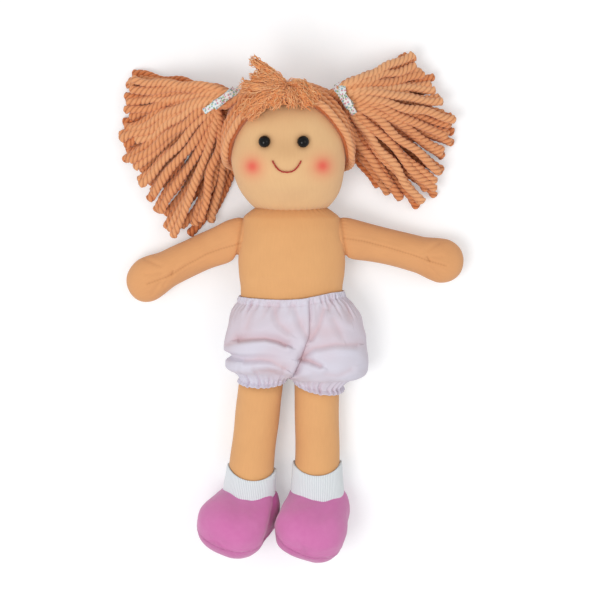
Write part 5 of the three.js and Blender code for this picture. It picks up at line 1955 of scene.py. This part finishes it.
@dataclass
class Tie:
    """A printed ribbon wound round the root of a bunch, with a knot and two cut tails.

    A tail holds its heading in degrees and its length in millimetres.
    """

    bunch: Bunch
    tails: dict[Side, Pairs] = by_side(((-58.0, 14.0), (100.0, 9.0)), ((-33.0, 16.0), (150.0, 13.0)))
    radius: float = 9.4 * MM
    width: float = 6.2 * MM
    wall: float = 0.4 * MM

    def ribbon(self, line: Array, across: Array, width: Array) -> Sheet:
        """A strip along a line, as wide as asked along the given direction at each point."""
        share = np.linspace(-0.5, 0.5, 9)
        points = line[:, None, :] + share[None, :, None] * width[:, None, None] * across[:, None, :]
        return Sheet(points, closed=False)

    def build(self) -> list[Piece]:
        """Two turns of ribbon side by side, and two tails in front."""
        side, axis = self.bunch.side, self.bunch.axis
        out = self.bunch.heading(axis)
        flat = self.bunch.heading(axis + 90)
        middle = np.array(self.bunch.knot) + out * 0.5 * MM
        sheets = []
        for turn_number, (shift, tilt) in enumerate(((-1.2 * MM, 0.12), (1.3 * MM, -0.16))):
            turn = np.linspace(0, math.tau, 90)
            radius = self.radius + 0.5 * MM * turn_number + 0.35 * MM * np.sin(turn * 5 + turn_number)
            line = middle + out * shift
            line = line + (radius * np.cos(turn))[:, None] * flat + (radius * np.sin(turn))[:, None] * UP
            line = line + (np.sin(turn * 2 + turn_number) * 0.6 * MM)[:, None] * out
            lean = unit(out + tilt * np.cos(turn)[:, None] * flat + 0.15 * np.sin(turn * 3)[:, None] * UP)
            width = self.width * (0.62 + 0.1 * np.sin(turn * 2 + 1 + turn_number))
            sheets.append(self.ribbon(line, lean, width))
        for number, (heading, length) in enumerate(self.tails[side]):
            go = self.bunch.heading(heading)
            top = middle + UP * (self.radius + 1.2 * MM)
            t = np.linspace(0, 1, 40)[:, None]
            line = top + go * length * MM * t + UP * (2.2 * np.sin(t * 3.1) - 5.5 * t * t) * MM
            aside = unit(np.cross(UP, go))
            aside = unit(aside + UP * (0.55 * np.sin(t * 2.6 + number) + 0.2))
            width = self.width * (0.5 + 0.5 * ease(0, 0.35, t[:, 0])) * (1 - 0.25 * t[:, 0])
            sheets.append(self.ribbon(line, aside, width))
        name = side.value
        body, node = f"{name}_bunch", f"{name}_hair_tie"
        made = Builder.worn(f"{name}_tie_ribbon", sheets, Palette.ribbon, body, node)
        Builder.thicken(made, self.wall)
        return [made]


@dataclass
class Fringe:
    """Soft unspun locks sewn at the parting, each a core in a cloud of fine wavy fibres."""

    locks: tuple[Rows, ...] = (
        ((-4, 123, 62), (-10, 129, 66), (-20, 133, 66), (-26, 141, 62)),
        ((-5, 121, 64), (-16, 121, 71), (-26, 121, 70), (-33, 123, 62)),
        ((-5, 124, 62), (-14, 127, 67), (-20, 127, 67), (-27, 128, 63)),
        ((-3, 120, 64), (-13, 118, 72), (-22, 112, 71), (-30, 101, 61)),
        ((-8, 119, 64), (-20, 118, 67), (-29, 112, 63), (-35, 103, 55)),
        ((-3, 124, 60), (5, 124, 64), (11, 119, 64), (18, 112, 60)),
        ((-2, 121, 64), (-1, 117, 70), (0, 113, 70), (1, 109, 67)),
        ((-5, 122, 64), (-9, 116, 71), (-11, 113, 71), (-13, 109, 68)),
        ((2, 122, 62), (6, 118, 68), (9, 114, 68), (12, 109, 64)),
    )
    spreads: tuple[float, ...] = (3.0, 4.6, 3.6, 4.8, 4.6, 4.4, 4.2, 4.6, 4.0)
    fibres: int = 92
    points: int = 22

    def build(self) -> list[Piece]:
        """All the locks, with frayed cut ends."""
        draw = np.random.default_rng(33)
        core = Ply(radius=1.0 * MM, plies=2, sides=12, pitch=14 * MM, depth=0.12)
        hair = Ply(radius=0.3 * MM, plies=1, sides=4, pitch=400 * MM, depth=0.0)
        sheets = []
        for lock, spread in zip(self.locks, self.spreads):
            middle = evenly(bezier([np.array(point) * MM for point in lock], 40), 40)
            t = np.linspace(0, 1, 40)
            fat = spread * (0.6 + 0.4 * np.sin(math.pi * np.clip(t * 0.8 + 0.1, 0, 1)) ** 0.7)
            fat = fat * (1 + 0.16 * np.sin(t * draw.uniform(7, 12) + draw.uniform(0, 6)))
            sheets.append(core.strand(middle, fat * 0.62 * rounded_ends(40, 0.16, 0.2), 0.4, 1.0))
            for _ in range(self.fibres):
                sheets.append(self.fibre(middle, fat, draw, hair))
        return [Builder.worn("fringe_locks", sheets, Palette.fringe, "head", "hair_fringe")]

    def fibre(self, middle: Array, fat: Array, draw: np.random.Generator, hair: Ply) -> Sheet:
        """One fibre: it keeps its place round the lock, waves a little and frays at the end."""
        first = draw.uniform(0.0, 0.4)
        last = first + draw.uniform(0.45, 0.8) if draw.uniform() < 0.4 else draw.uniform(0.86, 1.07)
        at = np.linspace(first, min(last, 1.07), self.points)
        base = np.linspace(0, 1, len(middle))
        line = np.stack([np.interp(at, base, middle[:, axis]) for axis in range(3)], -1)
        past = np.clip(at - 1, 0, None)[:, None]
        line = line + unit(middle[-1] - middle[-6]) * past * 26 * MM
        angle = draw.uniform(0, math.tau) + draw.normal() * 1.0 * at
        away = draw.uniform(0.35, 1.0) ** 0.5 * (1.25 if draw.uniform() < 0.12 else 1.0)
        u, v = beside(line)
        frayed = 1 + 0.3 * ease(0.75, 1.05, at) * draw.uniform(-0.5, 1)
        size = np.interp(at, base, fat) * MM * away * frayed
        line = line + (size * np.cos(angle))[:, None] * u + (size * np.sin(angle) * 0.8)[:, None] * v
        for scale in (0.5, 0.3):
            waves = draw.uniform(2.5, 7) / scale * 0.25
            push = np.sin(at * waves * math.tau + draw.uniform(0, 6.28)) * scale * 2.9 * MM
            line = line + push[:, None] * (u * draw.normal() + v * draw.normal()) * 0.7
        swell = rounded_ends(self.points, 0.1, 0.3) * draw.uniform(0.7, 1.25)
        return hair.strand(line, swell, draw.uniform(0.0, 1.0), 0.0)


class Carried:
    """Finishes for the pieces that come straight from the model: the washers behind the eyes."""

    finishes = {"left_eye_washer": Palette.washer, "right_eye_washer": Palette.washer}

    @classmethod
    def dress(cls) -> None:
        """Gives each such piece its own material."""
        for name, finish in cls.finishes.items():
            for slot in bpy.data.objects[name].material_slots:
                slot.material = finish.material()
            LOG.info("Carried: %s", name)


@dataclass
class Studio:
    """A pale floor under the doll, soft light from the lower left and a camera in front of it."""

    target: tuple[float, float, float] = (5.95 * MM, -26.6 * MM, 25 * MM)
    distance: float = 1.6
    tilt: float = math.radians(5)
    lens: float = 137.14
    sensor: float = 36.0
    floor_size: float = 6.0
    floor_z: float = -0.2 * MM

    def camera(self) -> None:
        """The camera, looking down on the doll a little from its feet."""
        data = bpy.data.cameras.new("camera")
        data.lens = self.lens
        data.sensor_width = self.sensor
        data.clip_end = 20.0
        seen = bpy.data.objects.new("camera", data)
        back = Vector((0.0, math.sin(self.tilt), math.cos(self.tilt)))
        place = Matrix.Translation(Vector(self.target) + back * self.distance)
        seen.matrix_world = place @ Matrix.Rotation(-self.tilt, 4, "X")
        bpy.context.scene.collection.objects.link(seen)
        bpy.context.scene.camera = seen

    def floor(self) -> None:
        """A pale floor that shows nearly white to the camera and keeps the doll's soft shadow."""
        half = self.floor_size / 2
        mesh = bpy.data.meshes.new("floor")
        corners = [(x * half, y * half, self.floor_z) for x, y in ((-1, -1), (1, -1), (1, 1), (-1, 1))]
        mesh.from_pydata(corners, [], [(0, 1, 2, 3)])
        shader = Shader("floor_paper")
        grain = shader.noise(shader.place(), 60.0, 4.0)
        shade = shader.mix(grain, paint(224, 225, 227), paint(229, 230, 231))
        shader.set(Base_Color=shade, Roughness=0.9, Specular_IOR_Level=0.1)
        rays = shader.node("ShaderNodeLightPath")
        seen = shader.out(rays, "Is Camera Ray")
        for other in ("Is Glossy Ray", "Is Transmission Ray"):
            seen = seen.math("MAXIMUM", seen, shader.out(rays, other))
        shader.set(Emission_Color=shader.mix(seen, (0.0, 0.0, 0.0, 1.0), (0.3, 0.3, 0.3, 1.0)))
        shader.set(Emission_Strength=1.0)
        mesh.materials.append(shader.material)
        made = bpy.data.objects.new("floor", mesh)
        bpy.context.scene.collection.objects.link(made)

    def lamp(self, name: str, place: tuple[float, float, float], size: float, power: float) -> None:
        """A square soft lamp that points at the doll."""
        data = bpy.data.lights.new(name, "AREA")
        data.shape = "SQUARE"
        data.size = size
        data.energy = power
        made = bpy.data.objects.new(name, data)
        way = Vector(self.target) - Vector(place)
        made.matrix_world = Matrix.Translation(place) @ way.to_track_quat("-Z", "Y").to_matrix().to_4x4()
        bpy.context.scene.collection.objects.link(made)

    def build(self) -> None:
        """Camera, floor, lamps and an even sky."""
        scene = bpy.context.scene
        scene.view_settings.view_transform = "Standard"
        self.camera()
        self.floor()
        world = bpy.data.worlds.new("studio")
        world.use_nodes = True
        sky = world.node_tree.nodes["Background"]
        sky.inputs["Color"].default_value = (1.0, 1.0, 1.0, 1.0)
        sky.inputs["Strength"].default_value = 0.66
        scene.world = world
        self.lamp("lower_left_lamp", (-0.6, -0.4, 1.6), 0.75, 11.0)
        self.lamp("right_lamp", (1.2, 0.1, 1.5), 1.0, 3.5)


def main() -> None:
    """Builds the doll piece by piece around its model, then the studio."""
    logging.basicConfig(level=logging.INFO, format="%(message)s")
    Studio().build()
    head = Head()
    cap = HairCap(head)
    bunches = [Bunch(side, cap.knots[side]) for side in Side]
    makers: list[Any] = [head, Torso(), cap, Fringe(), *bunches, *map(Tie, bunches)]
    for side in Side:
        makers.extend([Arm(side), Leg(side), Shoe(side)])
    makers.append(Bloomers())
    for maker in makers:
        for piece in maker.build():
            LOG.info("%s: %s, %d faces", type(maker).__name__, piece.name, len(piece.data.polygons))
    Carried.dress()


if __name__ == "__main__":
    main()
